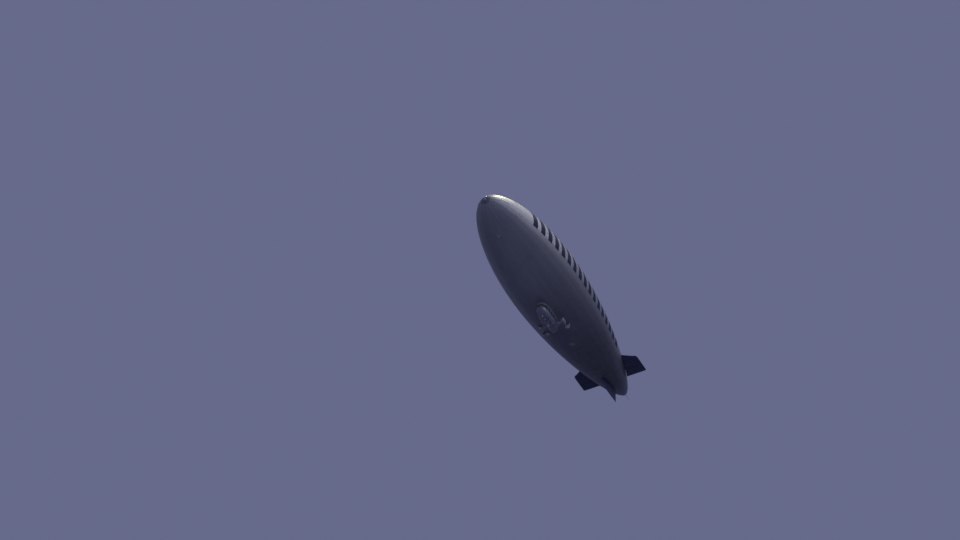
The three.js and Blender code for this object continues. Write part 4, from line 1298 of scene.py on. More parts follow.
def car_window_band(paint, lining):
    shape = Shape()
    heights = evenly(SILL + 0.0003, HEAD, 11)
    rings = [car_ring(z) for z in heights] + [car_ring(z, -CAR_WALL) for z in reversed(heights)]
    shape.loft(rings, loop=True)
    band = shape.build("car_window_band", "root", [paint, lining], "car_window_frame")
    cuts = Shape()
    for window in car_windows() + [DOOR_BAY]:
        panel(cuts, window, *CUTTER)
    carve(band, cuts)
    line_inside(band, 1)


def car_glazing(glass, rubber, lining):
    """Curved panes behind the openings, with a rubber bead outside and a retaining frame inside."""
    for name, first, last in GLASS_STRIPS:
        shape = Shape()
        strip = opening(first, last, WINDOW_LOW - LAP, WINDOW_HIGH + LAP, 0.02)
        panel(shape, strip, GLASS_OUT, GLASS_IN, count=36)
        shape.build(name.removesuffix("_glass") + "_panes", "root", glass, replaces=name)
    shape = Shape()
    for window in car_windows():
        border(shape, window, WINDOW_BEAD)
        border(shape, window, WINDOW_RETAINER, 1)
    shape.build("car_window_seals", "root", [rubber, lining])


def door_knuckle(shape, z, side, look):
    """A hinge's barrel and strap: side 1 belongs to the door and is above the joint line, -1 to the car."""
    x, y = DOOR_AXIS
    low = z + 0.0003 if side > 0 else z - 0.04
    shape.lathe([(0, 0.0085), (0.0015, 0.01), (0.0375, 0.01), (0.0395, 0.0085)], (x, y, low), UP, 24, look)
    near, far = sorted((x - side * 0.005, x - side * 0.028))
    middle = (near + far) / 2
    inner = -car_level(z)[2] + 0.008
    shape.box((near, y - 0.004, low + 0.005), (far, y + 0.004, low + 0.035), look)
    shape.box((middle - 0.01, y, low + 0.005), (middle + 0.01, inner, low + 0.035), look)
    shape.dome((x, y, low + (0.0395 if side > 0 else 0.0)), (0, 0, side), 0.005, look, 8)


def car_door(paint, lining, glass, rubber, steel):
    """The door's leaf, its pane, its handle and the halves of the hinges that turn with it."""
    shape = Shape()
    panel(shape, DOOR_BAY, 0, -CAR_WALL, -DOOR_GAP, 0, 20, 14)
    leaf = shape.build("car_door_leaf", "car_door", [paint, lining], replaces="car_door")
    hole = Shape()
    panel(hole, DOOR_PANE, *CUTTER)
    carve(leaf, hole)
    line_inside(leaf, 1)
    shape = Shape()
    panel(shape, DOOR_PANE, GLASS_OUT, GLASS_IN, LAP)
    shape.build("car_door_pane", "car_door", glass, replaces="door_glass")
    fittings = Shape()
    border(fittings, DOOR_PANE, WINDOW_BEAD)
    border(fittings, DOOR_PANE, DOOR_RETAINER, 1)
    for z in DOOR_HINGES:
        door_knuckle(fittings, z, 1, 2)
    door_handle(fittings, 2)
    turns = [mix(*edge_turns(DOOR_BAY, SILL), share) for share in (0.03, 0.25, 0.5, 0.75, 0.97)]
    fittings.tube([car_point(turn, SILL, 0.001) for turn in turns], BELT, 8, 3)
    for share in (0.08, 0.92):
        for z in evenly(DOOR_LOW + 0.05, DOOR_HIGH - 0.05, 12):
            car_rivet(fittings, mix(*edge_turns(DOOR_BAY, z), share), z, 0.0035, 2)
    fittings.build("car_door_fittings", "car_door", [rubber, lining, steel, paint])


def door_handle(shape, look):
    """A rose and a lever outside, and a plain lever inside."""
    z = SILL - 0.03
    turn = car_turn(("x", DOOR_X - DOOR_HALF + 0.04, -1), z)
    base, inside, out = car_point(turn, z), car_point(turn, z, -CAR_WALL), out_of_car(turn, z)
    rose = [(-0.001, 0.02), (0.003, 0.02), (0.005, 0.017), (0.006, 0.008), (0.02, 0.007), (0.022, 0.004)]
    shape.lathe(rose, base, out, 24, look)
    stem = base + out * 0.02
    lever = [base + out * 0.017, stem + Vector((0.03, 0, -0.002)), stem + Vector((0.085, 0, -0.004))]
    shape.tube(lever, [0.006, 0.0055, 0.0045], 10, look)
    shape.tube([inside, inside - out * 0.02, inside - out * 0.024 + FORWARD * 0.07], 0.005, 8, look)


RIVET_ROWS = (  # height and spacing
    (KEEL + 0.05, 0.07), (CHINE - 0.025, 0.055), (CHINE + 0.025, 0.055), (SILL - 0.025, 0.055),
    (HEAD - 0.012, 0.055),
)
SHELL_SEAMS = (-0.55, -0.2, 0.3, 0.78, 1.26, 1.74)


def by_the_door(point):
    return point.y < 0 and abs(point.x - DOOR_X) < DOOR_HALF + 0.035 and point.z > DOOR_LOW - 0.01


def shell_seam(shape, x, side, tape_look, rivet_look):
    """An upright seam on the lower shell, with two rows of rivets."""
    marks = [(car_turn(("x", x, side), z), z) for z in evenly(KEEL + 0.03, SILL - 0.01, 11)]
    outs = [out_of_car(turn, z) for turn, z in marks]
    shape.strip([car_point(turn, z) for turn, z in marks], outs, 0.022, 0.0012, tape_look)
    for _, z in marks[1:]:
        for shift in (-0.006, 0.006):
            car_rivet(shape, car_turn(("x", x + shift, side), z), z, 0.0026, rivet_look, 0.001)


def car_trim(paint, rubber, steel, shell_paint):
    """Belts, the door's stop, the car's hinge halves, the jacking pad, rivets and seams."""
    shape = Shape()
    first, last = edge_turns(DOOR_BAY, SILL)
    belt(shape, SILL, BELT, 0.001, 0, last + 0.012, first - 0.012 + 2 * math.pi)
    belt(shape, CHINE, 0.005, 0.0, 3)
    border(shape, DOOR_BAY, DOOR_STOP, 1)
    for z in DOOR_HINGES:
        door_knuckle(shape, z, -1, 2)
    shape.box((1.22, -0.09, KEEL - 0.008), (1.38, 0.09, KEEL + 0.005), 2)
    for x in (1.24, 1.36):
        for y in (-0.07, 0, 0.07):
            shape.dome((x, y, KEEL - 0.008), -UP, 0.007, 2, 8)
    for z, spacing in RIVET_ROWS:
        for turn in even_turns(z, spacing):
            if not by_the_door(car_point(turn, z)):
                car_rivet(shape, turn, z, 0.0032, 2)
    for _, side in SIDES:
        for x in SHELL_SEAMS:
            shell_seam(shape, x, side, 3, 2)
    shape.build("car_trim", "root", [paint, rubber, steel, shell_paint])


def on_belly(x, y):
    """Height at which the lower shell passes over a place in plan."""
    low, high = KEEL, SILL
    for _ in range(40):
        middle = (low + high) / 2
        front, rear, half = car_level(middle)
        ahead = x - CAR_CENTRE
        inside = (abs(ahead) / (front if ahead > 0 else rear)) ** CAR_POWER + (abs(y) / half) ** CAR_POWER < 1
        low, high = (low, middle) if inside else (middle, high)
    return low


def door_step(shape, rubber, steel):
    """The tread under the door with its ribs and brackets, and a grip rail beside the door."""
    inner, level = -0.485, -4.585
    corners = ((0.9, inner), (1.14, inner), (1.13, inner - 0.09), (0.91, inner - 0.09))
    shape.loft([[Vector((x, y, z)) for x, y in corners] for z in (level, level + 0.008)], steel)
    for i in range(5):
        y = inner - 0.014 - 0.016 * i
        shape.tube([(0.915, y, level + 0.009), (1.125, y, level + 0.009)], 0.003, 6, rubber)
    for x in (0.93, 1.11):
        path = [(x, inner - 0.075, level), (x, inner - 0.03, level - 0.02), (x, -0.40, level - 0.005)]
        shape.tube(path, 0.006, 8, steel)
    turn = car_turn(("x", DOOR_X - DOOR_HALF - 0.05, -1), SILL)
    low, high = -4.42, -4.14
    heights = (low, low + 0.012, low + 0.04, high - 0.04, high - 0.012, high)
    grip = zip(heights, (0, 0.026, 0.034, 0.034, 0.026, 0))
    shape.tube([car_point(turn, z, out) for z, out in grip], 0.0055, 8, steel)


def belly_lamps(shape, steel, red, clear):
    """The landing lamp under the nose and the beacon under the tail of the car."""
    lamp = Vector((1.79, 0, on_belly(1.79, 0) + 0.004))
    way = Vector((0.45, 0, -0.9)).normalized()
    bezel = [(-0.03, 0.055), (0.012, 0.055), (0.02, 0.05), (0.012, 0.044), (0.002, 0.044)]
    shape.lathe(bezel, lamp, way, 32, steel)
    shape.lathe([(0.0, 0.044), (0.013, 0.043), (0.018, 0.03), (0.02, 0.01)], lamp, way, 32, clear)
    beacon = Vector((-0.1, 0, KEEL))
    shape.lathe([(-0.002, 0.035), (0.01, 0.034), (0.012, 0.026)], beacon, -UP, 24, steel)
    shape.lathe([(0.011, 0.025), (0.03, 0.024), (0.042, 0.019), (0.048, 0.008)], beacon, -UP, 24, red)


def wiper(shape, side, rubber, dark):
    """A pivot, an arm and a blade on one half of the windshield."""
    low, high = WINDOW_LOW - 0.012, WINDOW_LOW + 0.17
    turn = car_turn(("y", side * 0.03, 1), low)
    pivot = car_point(turn, low, 0.004)
    tip = car_point(car_turn(("y", side * 0.12, 1), high), high, 0.004)
    shape.dome(pivot, out_of_car(turn, WINDOW_LOW), 0.01, dark, 12)
    shape.tube([pivot + FORWARD * 0.006, tip + FORWARD * 0.004], [0.004, 0.0025], 8, dark)
    heights, reaches = evenly(WINDOW_LOW + 0.05, WINDOW_HIGH - 0.07, 7), evenly(0.075, 0.14, 7)
    blade = [car_point(car_turn(("y", side * y, 1), z), z, -0.012) for y, z in zip(reaches, heights)]
    shape.tube(blade, 0.0035, 6, rubber)


def car_equipment(paint, rubber, steel, dark, red, clear, shell_paint):
    """Door step, lamps, aerials, pitot tube, wipers and rear louvres."""
    shape = Shape()
    door_step(shape, 1, 2)
    belly_lamps(shape, 2, 4, 5)
    for x, y, height in ((0.2, 0.12, 0.16), (1.52, -0.1, 0.12)):
        root = Vector((x, y, on_belly(x, y) + 0.003))
        shape.lathe([(0, 0.016), (0.006, 0.014), (0.012, 0.005)], root, -UP, 16, 3)
        aerial = [root, root + Vector((-0.02, 0, -height * 0.5)), root + Vector((-0.05, 0, -height))]
        shape.tube(aerial, [0.004, 0.003, 0.002], 8, 3)
    nose = car_point(car_turn(("y", 0.1, 1), -4.3), -4.3)
    pitot = [nose + Vector((x, 0, z)) for x, z in ((-0.01, 0), (0.05, -0.01), (0.17, -0.012))]
    shape.tube(pitot, [0.008, 0.006, 0.004], 10, 2)
    for _, side in SIDES:
        wiper(shape, side, 1, 3)
        for i in range(6):
            z = -4.36 + 0.022 * i
            turns = [car_turn(("x", x, side), z) for x in (-0.66, -0.58, -0.5)]
            outs = [out_of_car(turn, z) for turn in turns]
            shape.strip([car_point(turn, z) for turn in turns], outs, 0.012, 0.006, 6)
    shape.build("car_equipment", "root", [paint, rubber, steel, dark, red, clear, shell_paint])


def car_top(paint, lining):
    """The roof plate with its drip rail; its underside is the cabin's ceiling."""
    shape = Shape()
    section = [(HEAD + 0.0003, -0.06), (HEAD + 0.0003, 0), (HEAD + 0.003, 0.009), (HEAD + 0.009, 0.013),
               (HEAD + 0.017, 0.012), (ROOF_TOP - 0.002, 0.004), (ROOF_TOP, -0.06)]
    shape.loft([car_ring(z, out) for z, out in section])
    roof = shape.build("car_roof_plate", "root", [paint, lining], replaces="car_roof")
    for face in roof.data.polygons:
        if face.normal.z < -0.8 and face.center.z < HEAD + 0.002:
            face.material_index = 1


def under_hull(turn, out, sunk=0.004):
    """Height at which the car's outline, drawn upwards, meets the envelope."""
    z = CAR_TOP
    for _ in range(8):
        point = car_point(turn, min(z, CAR_TOP), out)
        radius = hull_radius(NOSE_X - point.x) - sunk
        z = -math.sqrt(max(radius**2 - point.y**2, 0))
    return z


SKIRT_LOW = ROOF_TOP + 0.0006
SKIRT_INSIDE = ((1, 0.03), (0.6, -0.014), (0, -0.016))  # share of the height, and out
LACE_MARKS = 150


def skirt_point(turn, share, out, top_out):
    """A point of the fairing at a share of its height under the envelope."""
    z = mix(SKIRT_LOW, under_hull(turn, top_out), share)
    return Vector((*car_point(turn, min(z, mix(SKIRT_LOW, CAR_TOP, share)), out).xy, z))


def car_skirt(paint, cord, tape, steel):
    """The fairing between the roof and the envelope, its flared hem, and the lacing that holds the hem."""
    shape = Shape()
    outside = [(share, 0.002 + 0.045 * share**4) for share in evenly(0, 1, 13)]
    shape.loft([[skirt_point(turn, share, out, out) for turn in full_turn(CAR_SIDES)]
                for share, out in [*outside, *SKIRT_INSIDE]], loop=True)
    shape.build("car_fairing_skin", "root", paint, replaces="car_fairing")
    trim = Shape()
    lace, hem = [], []
    for i, turn in enumerate(even_turns(CAR_TOP, 6.2 / LACE_MARKS)):
        if i % 2:
            z = mix(SKIRT_LOW, under_hull(turn, 0.01), 0.86)
            spot = Vector((*car_point(turn, min(z, CAR_TOP), 0.034).xy, z))
            trim.dome(spot, out_of_car(turn, CAR_TOP), 0.006, 2, 8)
        else:
            point = car_point(turn, CAR_TOP, 0.105)
            place = NOSE_X - point.x
            angle = angle_under(place, point.y)
            spot = on_hull(place, angle, 0.006)
            hull_dome(trim, place, angle, 0.004, 0.006, 2, 8)
            hem.append((place, angle))
        lace.append(spot)
    trim.tube(lace, 0.0025, 6, 0, loop=True)
    hull_strip(trim, hem + hem[:1], 0.055, 0.004, 1)
    for turn in even_turns(ROOF_TOP, 0.06):
        trim.dome(car_point(turn, SKIRT_LOW + 0.015, 0.003), out_of_car(turn, SKIRT_LOW), 0.0035, 2)
    trim.build("car_fairing_lacing", "root", [cord, tape, steel])


# Cabin


CEILING_LAMP = Vector((0.9, 0, HEAD - 0.004))
SEATS = (  # name, X, Y and width
    ("pilot_seat", 1.5, 0.215, 0.225),
    ("front_passenger_seat", 1.5, -0.215, 0.225),
    ("port_middle_seat", 0.64, 0.235, 0.24),
    ("starboard_middle_seat", 0.4, -0.235, 0.24),
    ("rear_bench", -0.26, 0.0, 0.78),
)
SEAT_WIDTH, BENCH_WIDTH = 0.225, 0.78  # that the cushions are made with
CUSHION = {
    "word": "cushion", "lean": 4.0, "base": (0.112, 0.205), "rest": -1,
    "length": 0.265, "thickness": 0.05, "channels": (-0.16, 0.16),
}
BACK = {
    "word": "back", "lean": 105.5, "base": (-0.036, 0.375), "rest": 1,
    "length": 0.29, "thickness": 0.046, "channels": (-0.22, 0.0, 0.22),
}
VOXEL = 0.0075
SWELL = 0.012  # most that a point of a cushion may move
RESTS = 0.026  # from the middle of a cushion to the pan or the shell that it rests on
PLATE = 0.007
PAN = ((-0.125, -RESTS - PLATE), (0.125, -RESTS - PLATE), (0.13, -RESTS), (-0.13, -RESTS))
BACK_SHELL = ((-0.146, RESTS), (0.14, RESTS), (0.135, RESTS + PLATE), (-0.14, RESTS + PLATE))
SEAT_LEG = ((0.195, 0.006), (0.2, 0.15), (0.18, 0.17), (0.02, 0.162), (0.005, 0.14), (0.06, 0.006))
SEAT_TUBE = 0.0075


def cabin_floor(covering, steel):
    shape = Shape()
    shape.loft([car_ring(z, GLASS_OUT) for z in (FLOOR_TOP - 0.02, FLOOR_TOP)])
    for y in (0.215, -0.215):
        for rail in (y - 0.07, y + 0.07):
            shape.box((1.42, rail - 0.006, FLOOR_TOP - 0.001), (1.8, rail + 0.006, FLOOR_TOP + 0.004), 1)
    shape.build("cabin_floor_cover", "root", [covering, steel], replaces="cabin_floor")


def cushion_form(length, width, thickness):
    """A boxy closed form with round edges, centred on the origin: length on X, width on Y, thickness on Z."""
    shape = Shape()
    rings = []
    for i in range(1, 16):
        up = math.pi * (i / 16 - 0.5)
        wide = bent(math.cos(up), 0.3)
        level = UP * (thickness / 2 * bent(math.sin(up), 0.6))
        rings.append(oval(level, length / 2 * wide, width / 2 * wide, 0.35, 64))
    shape.loft(rings)
    return shape


def mesh_points(mesh):
    flat = np.empty(len(mesh.vertices) * 3)
    mesh.vertices.foreach_get("co", flat)
    return flat.reshape(-1, 3)


def swollen(part, width):
    """A cushion's points and faces, filled as cloth under pressure with its side seam held, then sewn."""
    length, thickness = part["length"], part["thickness"]
    shape = cushion_form(length, width, thickness)
    form = new_object("form", shape.points, shape.faces)
    remesh = form.modifiers.new("remesh", "REMESH")
    remesh.mode = "VOXEL"
    remesh.voxel_size = VOXEL
    apply_modifiers(form)
    start = mesh_points(form.data)
    seam = form.vertex_groups.new(name="seam")
    held = [i for i, point in enumerate(start) if abs(point[2]) < VOXEL * 0.8]
    seam.add(held, 1.0, "REPLACE")
    cloth = form.modifiers.new("cloth", "CLOTH")
    cloth.settings.use_pressure = True
    cloth.settings.uniform_pressure_force = 4.0
    cloth.settings.effector_weights.gravity = 0
    cloth.settings.vertex_group_mass = "seam"
    cloth.point_cache.frame_start = 1
    cloth.point_cache.frame_end = 20
    for step in range(1, 21):
        bpy.context.scene.frame_set(step)
    points = mesh_points(form.evaluated_get(bpy.context.evaluated_depsgraph_get()).to_mesh())
    bpy.context.scene.frame_set(1)
    form.modifiers.clear()
    move = points - start
    reach = np.linalg.norm(move, axis=1)
    points = start + move * np.minimum(1, SWELL / np.maximum(reach, 1e-9))[:, None]
    for share in part["channels"]:
        near = np.exp(-(((points[:, 0] - share * length) / 0.009) ** 2))
        points[:, 2] -= np.sign(points[:, 2]) * near * thickness * 0.16
    faces = [tuple(face.vertices) for face in form.data.polygons]
    bpy.data.objects.remove(form)
    return [Vector(point) for point in points], faces


def on_seat(point, x, y, part):
    """A point of a cushion or a back, leaned about Y and set at its place."""
    lean = math.radians(part["lean"])
    c, s = math.cos(lean), math.sin(lean)
    px, py, pz = point
    ahead, height = part["base"]
    return Vector((x + ahead + px * c - pz * s, y + py, FLOOR_TOP + height + px * s + pz * c))


def lap_belt(shape, x, y, middle, reach):
    """A belt over a cushion, and its buckle."""
    ways = (-1.12, -0.9, -0.5, 0, 0.5, 0.9, 1.12)
    points = [(-0.07, middle + way * reach, 0.038 + 0.006 * (1 - abs(way))) for way in ways]
    path = [on_seat(point, x, y, CUSHION) for point in points]
    path[0].z -= 0.03
    path[-1].z -= 0.03
    shape.strip(path, [UP] * len(path), 0.024, 0.003, 2)
    shape.box(path[3] - Vector((0.014, 0.018, 0)), path[3] + Vector((0.014, 0.018, 0.009)), 0)


def seat_frame(name, x, y, width, materials):
    """Piping, tube legs, a pan, a back shell and lap belts."""
    shape = Shape()
    bench = name == "rear_bench"
    half = width / 2 - 0.02
    for part in (CUSHION, BACK):
        edge = oval(ORIGIN, part["length"] / 2 * 1.005, width / 2 * 1.005, 0.35, 72)
        shape.tube([on_seat(point, x, y, part) for point in edge], 0.0035, 6, 1, loop=True)
    for way in (1, 0.33, -0.33, -1) if bench else (1, -1):
        side = y + way * half
        leg = [Vector((x + ahead, side, FLOOR_TOP + height)) for ahead, height in SEAT_LEG]
        shape.tube(spline(leg, 4), SEAT_TUBE, 10, 0)
        shape.box((x + 0.03, side - 0.011, FLOOR_TOP - 0.001), (x + 0.22, side + 0.011, FLOOR_TOP + 0.006), 0)
        post = [on_seat((reach, way * half, RESTS + PLATE + 0.006), x, y, BACK) for reach in (-0.17, 0.12)]
        shape.tube([leg[3]] + post, SEAT_TUBE, 10, 0)
    for part, section in ((CUSHION, PAN), (BACK, BACK_SHELL)):
        reach = half + 0.008
        shape.loft([[on_seat((px, py, pz), x, y, part) for px, pz in section] for py in (-reach, reach)])
    for middle in (-0.26, 0.0, 0.26) if bench else (0.0,):
        lap_belt(shape, x, y, middle, min(half, 0.105))
    shape.build(name + "_frame", "root", materials)


def seats(leather, piping, steel, webbing):
    """Each seat has a stuffed cushion and back, and a frame."""
    forms = {}
    for name, x, y, width in SEATS:
        made_width = BENCH_WIDTH if name == "rear_bench" else SEAT_WIDTH
        if made_width not in forms:
            forms[made_width] = [swollen(part, made_width) for part in (CUSHION, BACK)]
        for part, (points, faces) in zip((CUSHION, BACK), forms[made_width]):
            shape = Shape()
            rest, stretch = part["rest"], width / made_width
            placed = [(p.x, p.y * stretch, rest * min(rest * p.z, RESTS)) for p in points]
            shape.add([on_seat(point, x, y, part) for point in placed], faces)
            made, stands_for = name + "_" + part["word"], name if part is CUSHION else ()
            piece = shape.build(made, "root", leather, stands_for, sharp=60)
        seat_frame(name, x, y, width, [steel, piping, webbing])


PANEL_X = 1.95
PANEL_SIDE = ((0, 0), (0.13, 0), (0.17, 0.23), (0.11, 0.33), (0.06, 0.33), (0, 0.24))
PANEL_HALF = 0.26
HOOD = (
    (0.025, 0.338), (0.03, 0.345), (0.09, 0.352), (0.15, 0.335), (0.15, 0.328), (0.09, 0.344), (0.03, 0.337),
)
PEDALS = (0.25, 0.14)


def gauge(shape, point, out, radius, reading):
    """A round dial with plain ticks and a needle: looks 1 bezel, 2 face, 3 marks."""
    up = out.cross(PORT).normalized()
    if up.z < 0:
        up = -up
    bezel = [(-0.004, 1), (0.004, 1), (0.006, 0.95), (0.005, 0.86), (0.002, 0.85)]
    shape.lathe([(along, radius * share) for along, share in bezel], point, out, 28, 1)
    shape.lathe([(-0.002, radius * 0.86), (0.0022, radius * 0.86)], point, out, 28, 2)
    marks = [(-130 + 26 * i, 0.7 if i % 5 else 0.62, 0.8, 0.06, 0.0028) for i in range(11)]
    marks.append((reading, -0.15, 0.66, 0.07, 0.0036))
    for angle, first, last, width, proud in marks:
        turn = math.radians(angle)
        way = (PORT * math.sin(turn) + up * math.cos(turn)) * radius
        ends = [point + way * first, point + way * last]
        shape.strip(ends, [out, out], radius * width, proud, 3, sunk=0.001 - proud)
    shape.dome(point + out * 0.003, out, radius * 0.1, 1, 8)


def instrument_panel(dark, bezel, face, marks, steel):
    """The console, with two rows of dials, switches, levers, a hood and two pedals."""
    shape = Shape()
    side = [Vector((PANEL_X + x, 0, FLOOR_TOP + 0.0003 + z)) for x, z in PANEL_SIDE]
    shape.loft([[point + PORT * y for point in side] for y in (-PANEL_HALF, PANEL_HALF)])
    shape.build("instrument_console", "root", dark, replaces="instrument_panel", bevel=0.012)
    trim = Shape()
    top = Vector((PANEL_X + 0.03, 0, FLOOR_TOP + 0.285))
    lean = Vector((-0.09, 0, 0.06)).normalized()
    for i in range(6):
        gauge(trim, top + PORT * (-0.2 + 0.08 * i) + lean * 0.001, lean, 0.034, -90 + 37 * i)
    for i in range(5):
        spot = Vector((PANEL_X - 0.001, -0.18 + 0.09 * i, FLOOR_TOP + 0.185))
        gauge(trim, spot, -FORWARD, 0.036, 100 - 43 * i)
    for i in range(10):
        foot = Vector((PANEL_X, -0.2 + 0.044 * i, FLOOR_TOP + 0.125))
        trim.lathe([(-0.002, 0.006), (0.003, 0.006), (0.004, 0.003)], foot, -FORWARD, 10, 1)
        lift = 0.007 if i % 3 else -0.007
        trim.tube([foot - FORWARD * 0.002, foot + Vector((-0.016, 0, lift))], [0.0022, 0.0016], 6, 4)
    knob = [(-0.009, 0.005), (-0.004, 0.0085), (0.004, 0.0085), (0.009, 0.005)]
    for i in range(4):
        foot = Vector((PANEL_X, -0.03 + 0.02 * i, FLOOR_TOP + 0.08))
        trim.tube([foot, foot + Vector((-0.06, 0, 0.02))], 0.003, 8, 4)
        trim.lathe(knob, foot + Vector((-0.062, 0, 0.02)), PORT, 12, 1)
    hood = []
    for y in evenly(-PANEL_HALF, PANEL_HALF, 13):
        lift = 0.02 * (1 - (y / PANEL_HALF) ** 2)
        hood.append([Vector((PANEL_X + x, y, FLOOR_TOP + z + lift)) for x, z in HOOD])
    trim.loft(hood, 0)
    for y in PEDALS:
        base = Vector((PANEL_X, y, FLOOR_TOP + 0.03))
        pad = base + Vector((-0.07, 0, 0.07))
        trim.tube([base, base + Vector((-0.05, 0, 0.03)), pad], 0.006, 8, 4)
        half = Vector((0.006, 0.026, 0.03))
        trim.box(pad - half, pad + half, 0)
    trim.build("instrument_fittings", "root", [dark, bezel, face, marks, steel])


def elevator_wheel(wood, steel, dark):
    """The big upright wheel beside the pilot that works the elevators."""
    shape = Shape()
    hub = Vector((1.64, 0.04, FLOOR_TOP + 0.25))
    shape.tube(circle(hub, 0.125, 56, FORWARD, UP), 0.009, 12, 0, loop=True)
    for way in circle(ORIGIN, 1, 6, FORWARD, UP):
        shape.tube([hub + way * 0.012, hub + way * 0.06, hub + way * 0.122], [0.007, 0.0045, 0.0055], 8, 1)
        shape.dome(hub + way * 0.1345, way, 0.007, 1, 8)
    boss = [(-0.012, 0.02), (-0.009, 0.024), (0.009, 0.024), (0.012, 0.02), (0.012, 0.012), (0.018, 0.01)]
    shape.lathe(boss, hub, PORT, 28, 1)
    shape.tube([hub, hub - PORT * 0.036], 0.012, 16, 1)
    floor = FLOOR_TOP - hub.z
    post = ((floor + 0.0003, 0.036, 0.02), (floor + 0.02, 0.034, 0.016), (floor + 0.03, 0.023, 0.009),
            (-0.03, 0.019, 0.008), (0.005, 0.02, 0.009), (0.019, 0.01, 0.008))
    shape.loft([oval(hub + Vector((0, -0.028, z)), deep, wide, 0.6, 24) for z, deep, wide in post], 2)
    shape.build("elevator_wheel_rim", "root", [wood, steel, dark], replaces="elevator_wheel")


def cabin_fittings(lining, lamp, steel, dark):
    """Ceiling ribs and lamp, an overhead switch panel, and a rack behind the rear bench."""
    shape = Shape()
    for x in (-0.1, 0.3, 0.78, 1.26):
        half = wall_y(x, HEAD) - 0.03
        shape.box((x - 0.012, -half, HEAD - 0.012), (x + 0.012, half, HEAD + 0.001), 0)
    shape.lathe([(-0.004, 0.05), (0.006, 0.05), (0.01, 0.046)], CEILING_LAMP, -UP, 28, 2)
    shape.lathe([(0.006, 0.045), (0.016, 0.038), (0.02, 0.02)], CEILING_LAMP, -UP, 28, 1)
    shape.box((1.72, -0.1, HEAD - 0.035), (1.86, 0.1, HEAD + 0.001), 3)
    for i in range(8):
        y = -0.077 + 0.022 * i
        shape.tube([(1.75, y, HEAD - 0.034), (1.748, y, HEAD - 0.046)], 0.0025, 6, 2)
    rail_x, rail_y, rail_z = -0.44, 0.36, FLOOR_TOP + 0.3
    shape.box((-0.62, -0.34, FLOOR_TOP), (rail_x, 0.34, FLOOR_TOP + 0.26), 3)
    shape.tube([(rail_x, -rail_y, rail_z), (rail_x, rail_y, rail_z)], 0.008, 10, 2)
    for y in (-rail_y, rail_y):
        shape.tube([(rail_x, y, FLOOR_TOP), (rail_x, y, rail_z)], 0.008, 10, 2)
    shape.build("cabin_fittings", "root", [lining, lamp, steel, dark], bevel=0.003)


# Engines, outriggers, propellers and air scoops


ENGINE_Y, ENGINE_Z = 1.12, -4.1
NACELLE = ((0.13, 0.118), (0.09, 0.15), (-0.05, 0.175), (-0.33, 0.172), (-0.5, 0.135), (-0.62, 0.088))
NACELLE_WALL = 0.008
OUTRIGGER = {"x": -0.3, "chord": 0.13, "thick": 0.042, "strut": 0.021}
PROPELLER = {"x": -0.705, "radius": 0.5, "hub": 0.062, "half_hub": 0.054, "spinner": 0.15}
BLADE = {  # at each share of the radius: chord, thickness and pitch in degrees
    "at": (0.08, 0.3, 0.65, 0.92, 1.0),
    "chord": (0.046, 0.074, 0.082, 0.062, 0.034),
    "thick": (0.030, 0.017, 0.010, 0.006, 0.004),
    "pitch": (58, 42, 27, 20, 18),
}
SCOOP_Y = 1.0
SCOOP_PATH = ((-1.01, -3.96), (-1.23, -3.95), (-1.48, -3.8), (-1.6, -3.5), (-1.64, -3.2))
SCOOP_OUTER, SCOOP_INNER = 0.12, 0.108


def nacelle_profile(inset):
    curve = spline([(x, radius, 0) for x, radius in NACELLE], 6)
    return [(point.x, point.y - inset) for point in curve]


def nacelle_point(side, x, angle, out=0.0):
    """A point on a nacelle at an angle from outboard towards up, and the way out of it."""
    profile = nacelle_profile(0)
    radius = np.interp(-x, [-place for place, _ in profile], [radius for _, radius in profile]) + out
    turn = math.radians(angle)
    way = Vector((0, side * math.cos(turn), math.sin(turn)))
    return Vector((x, side * ENGINE_Y, ENGINE_Z)) + way * radius, way


LOUVRE = ((-0.5, 0), (-0.3, 1), (0.1, 0.9), (0.5, 0.0))
EXHAUSTS = ((-0.2, -115), (-0.29, -115), (-0.2, -65), (-0.29, -65))


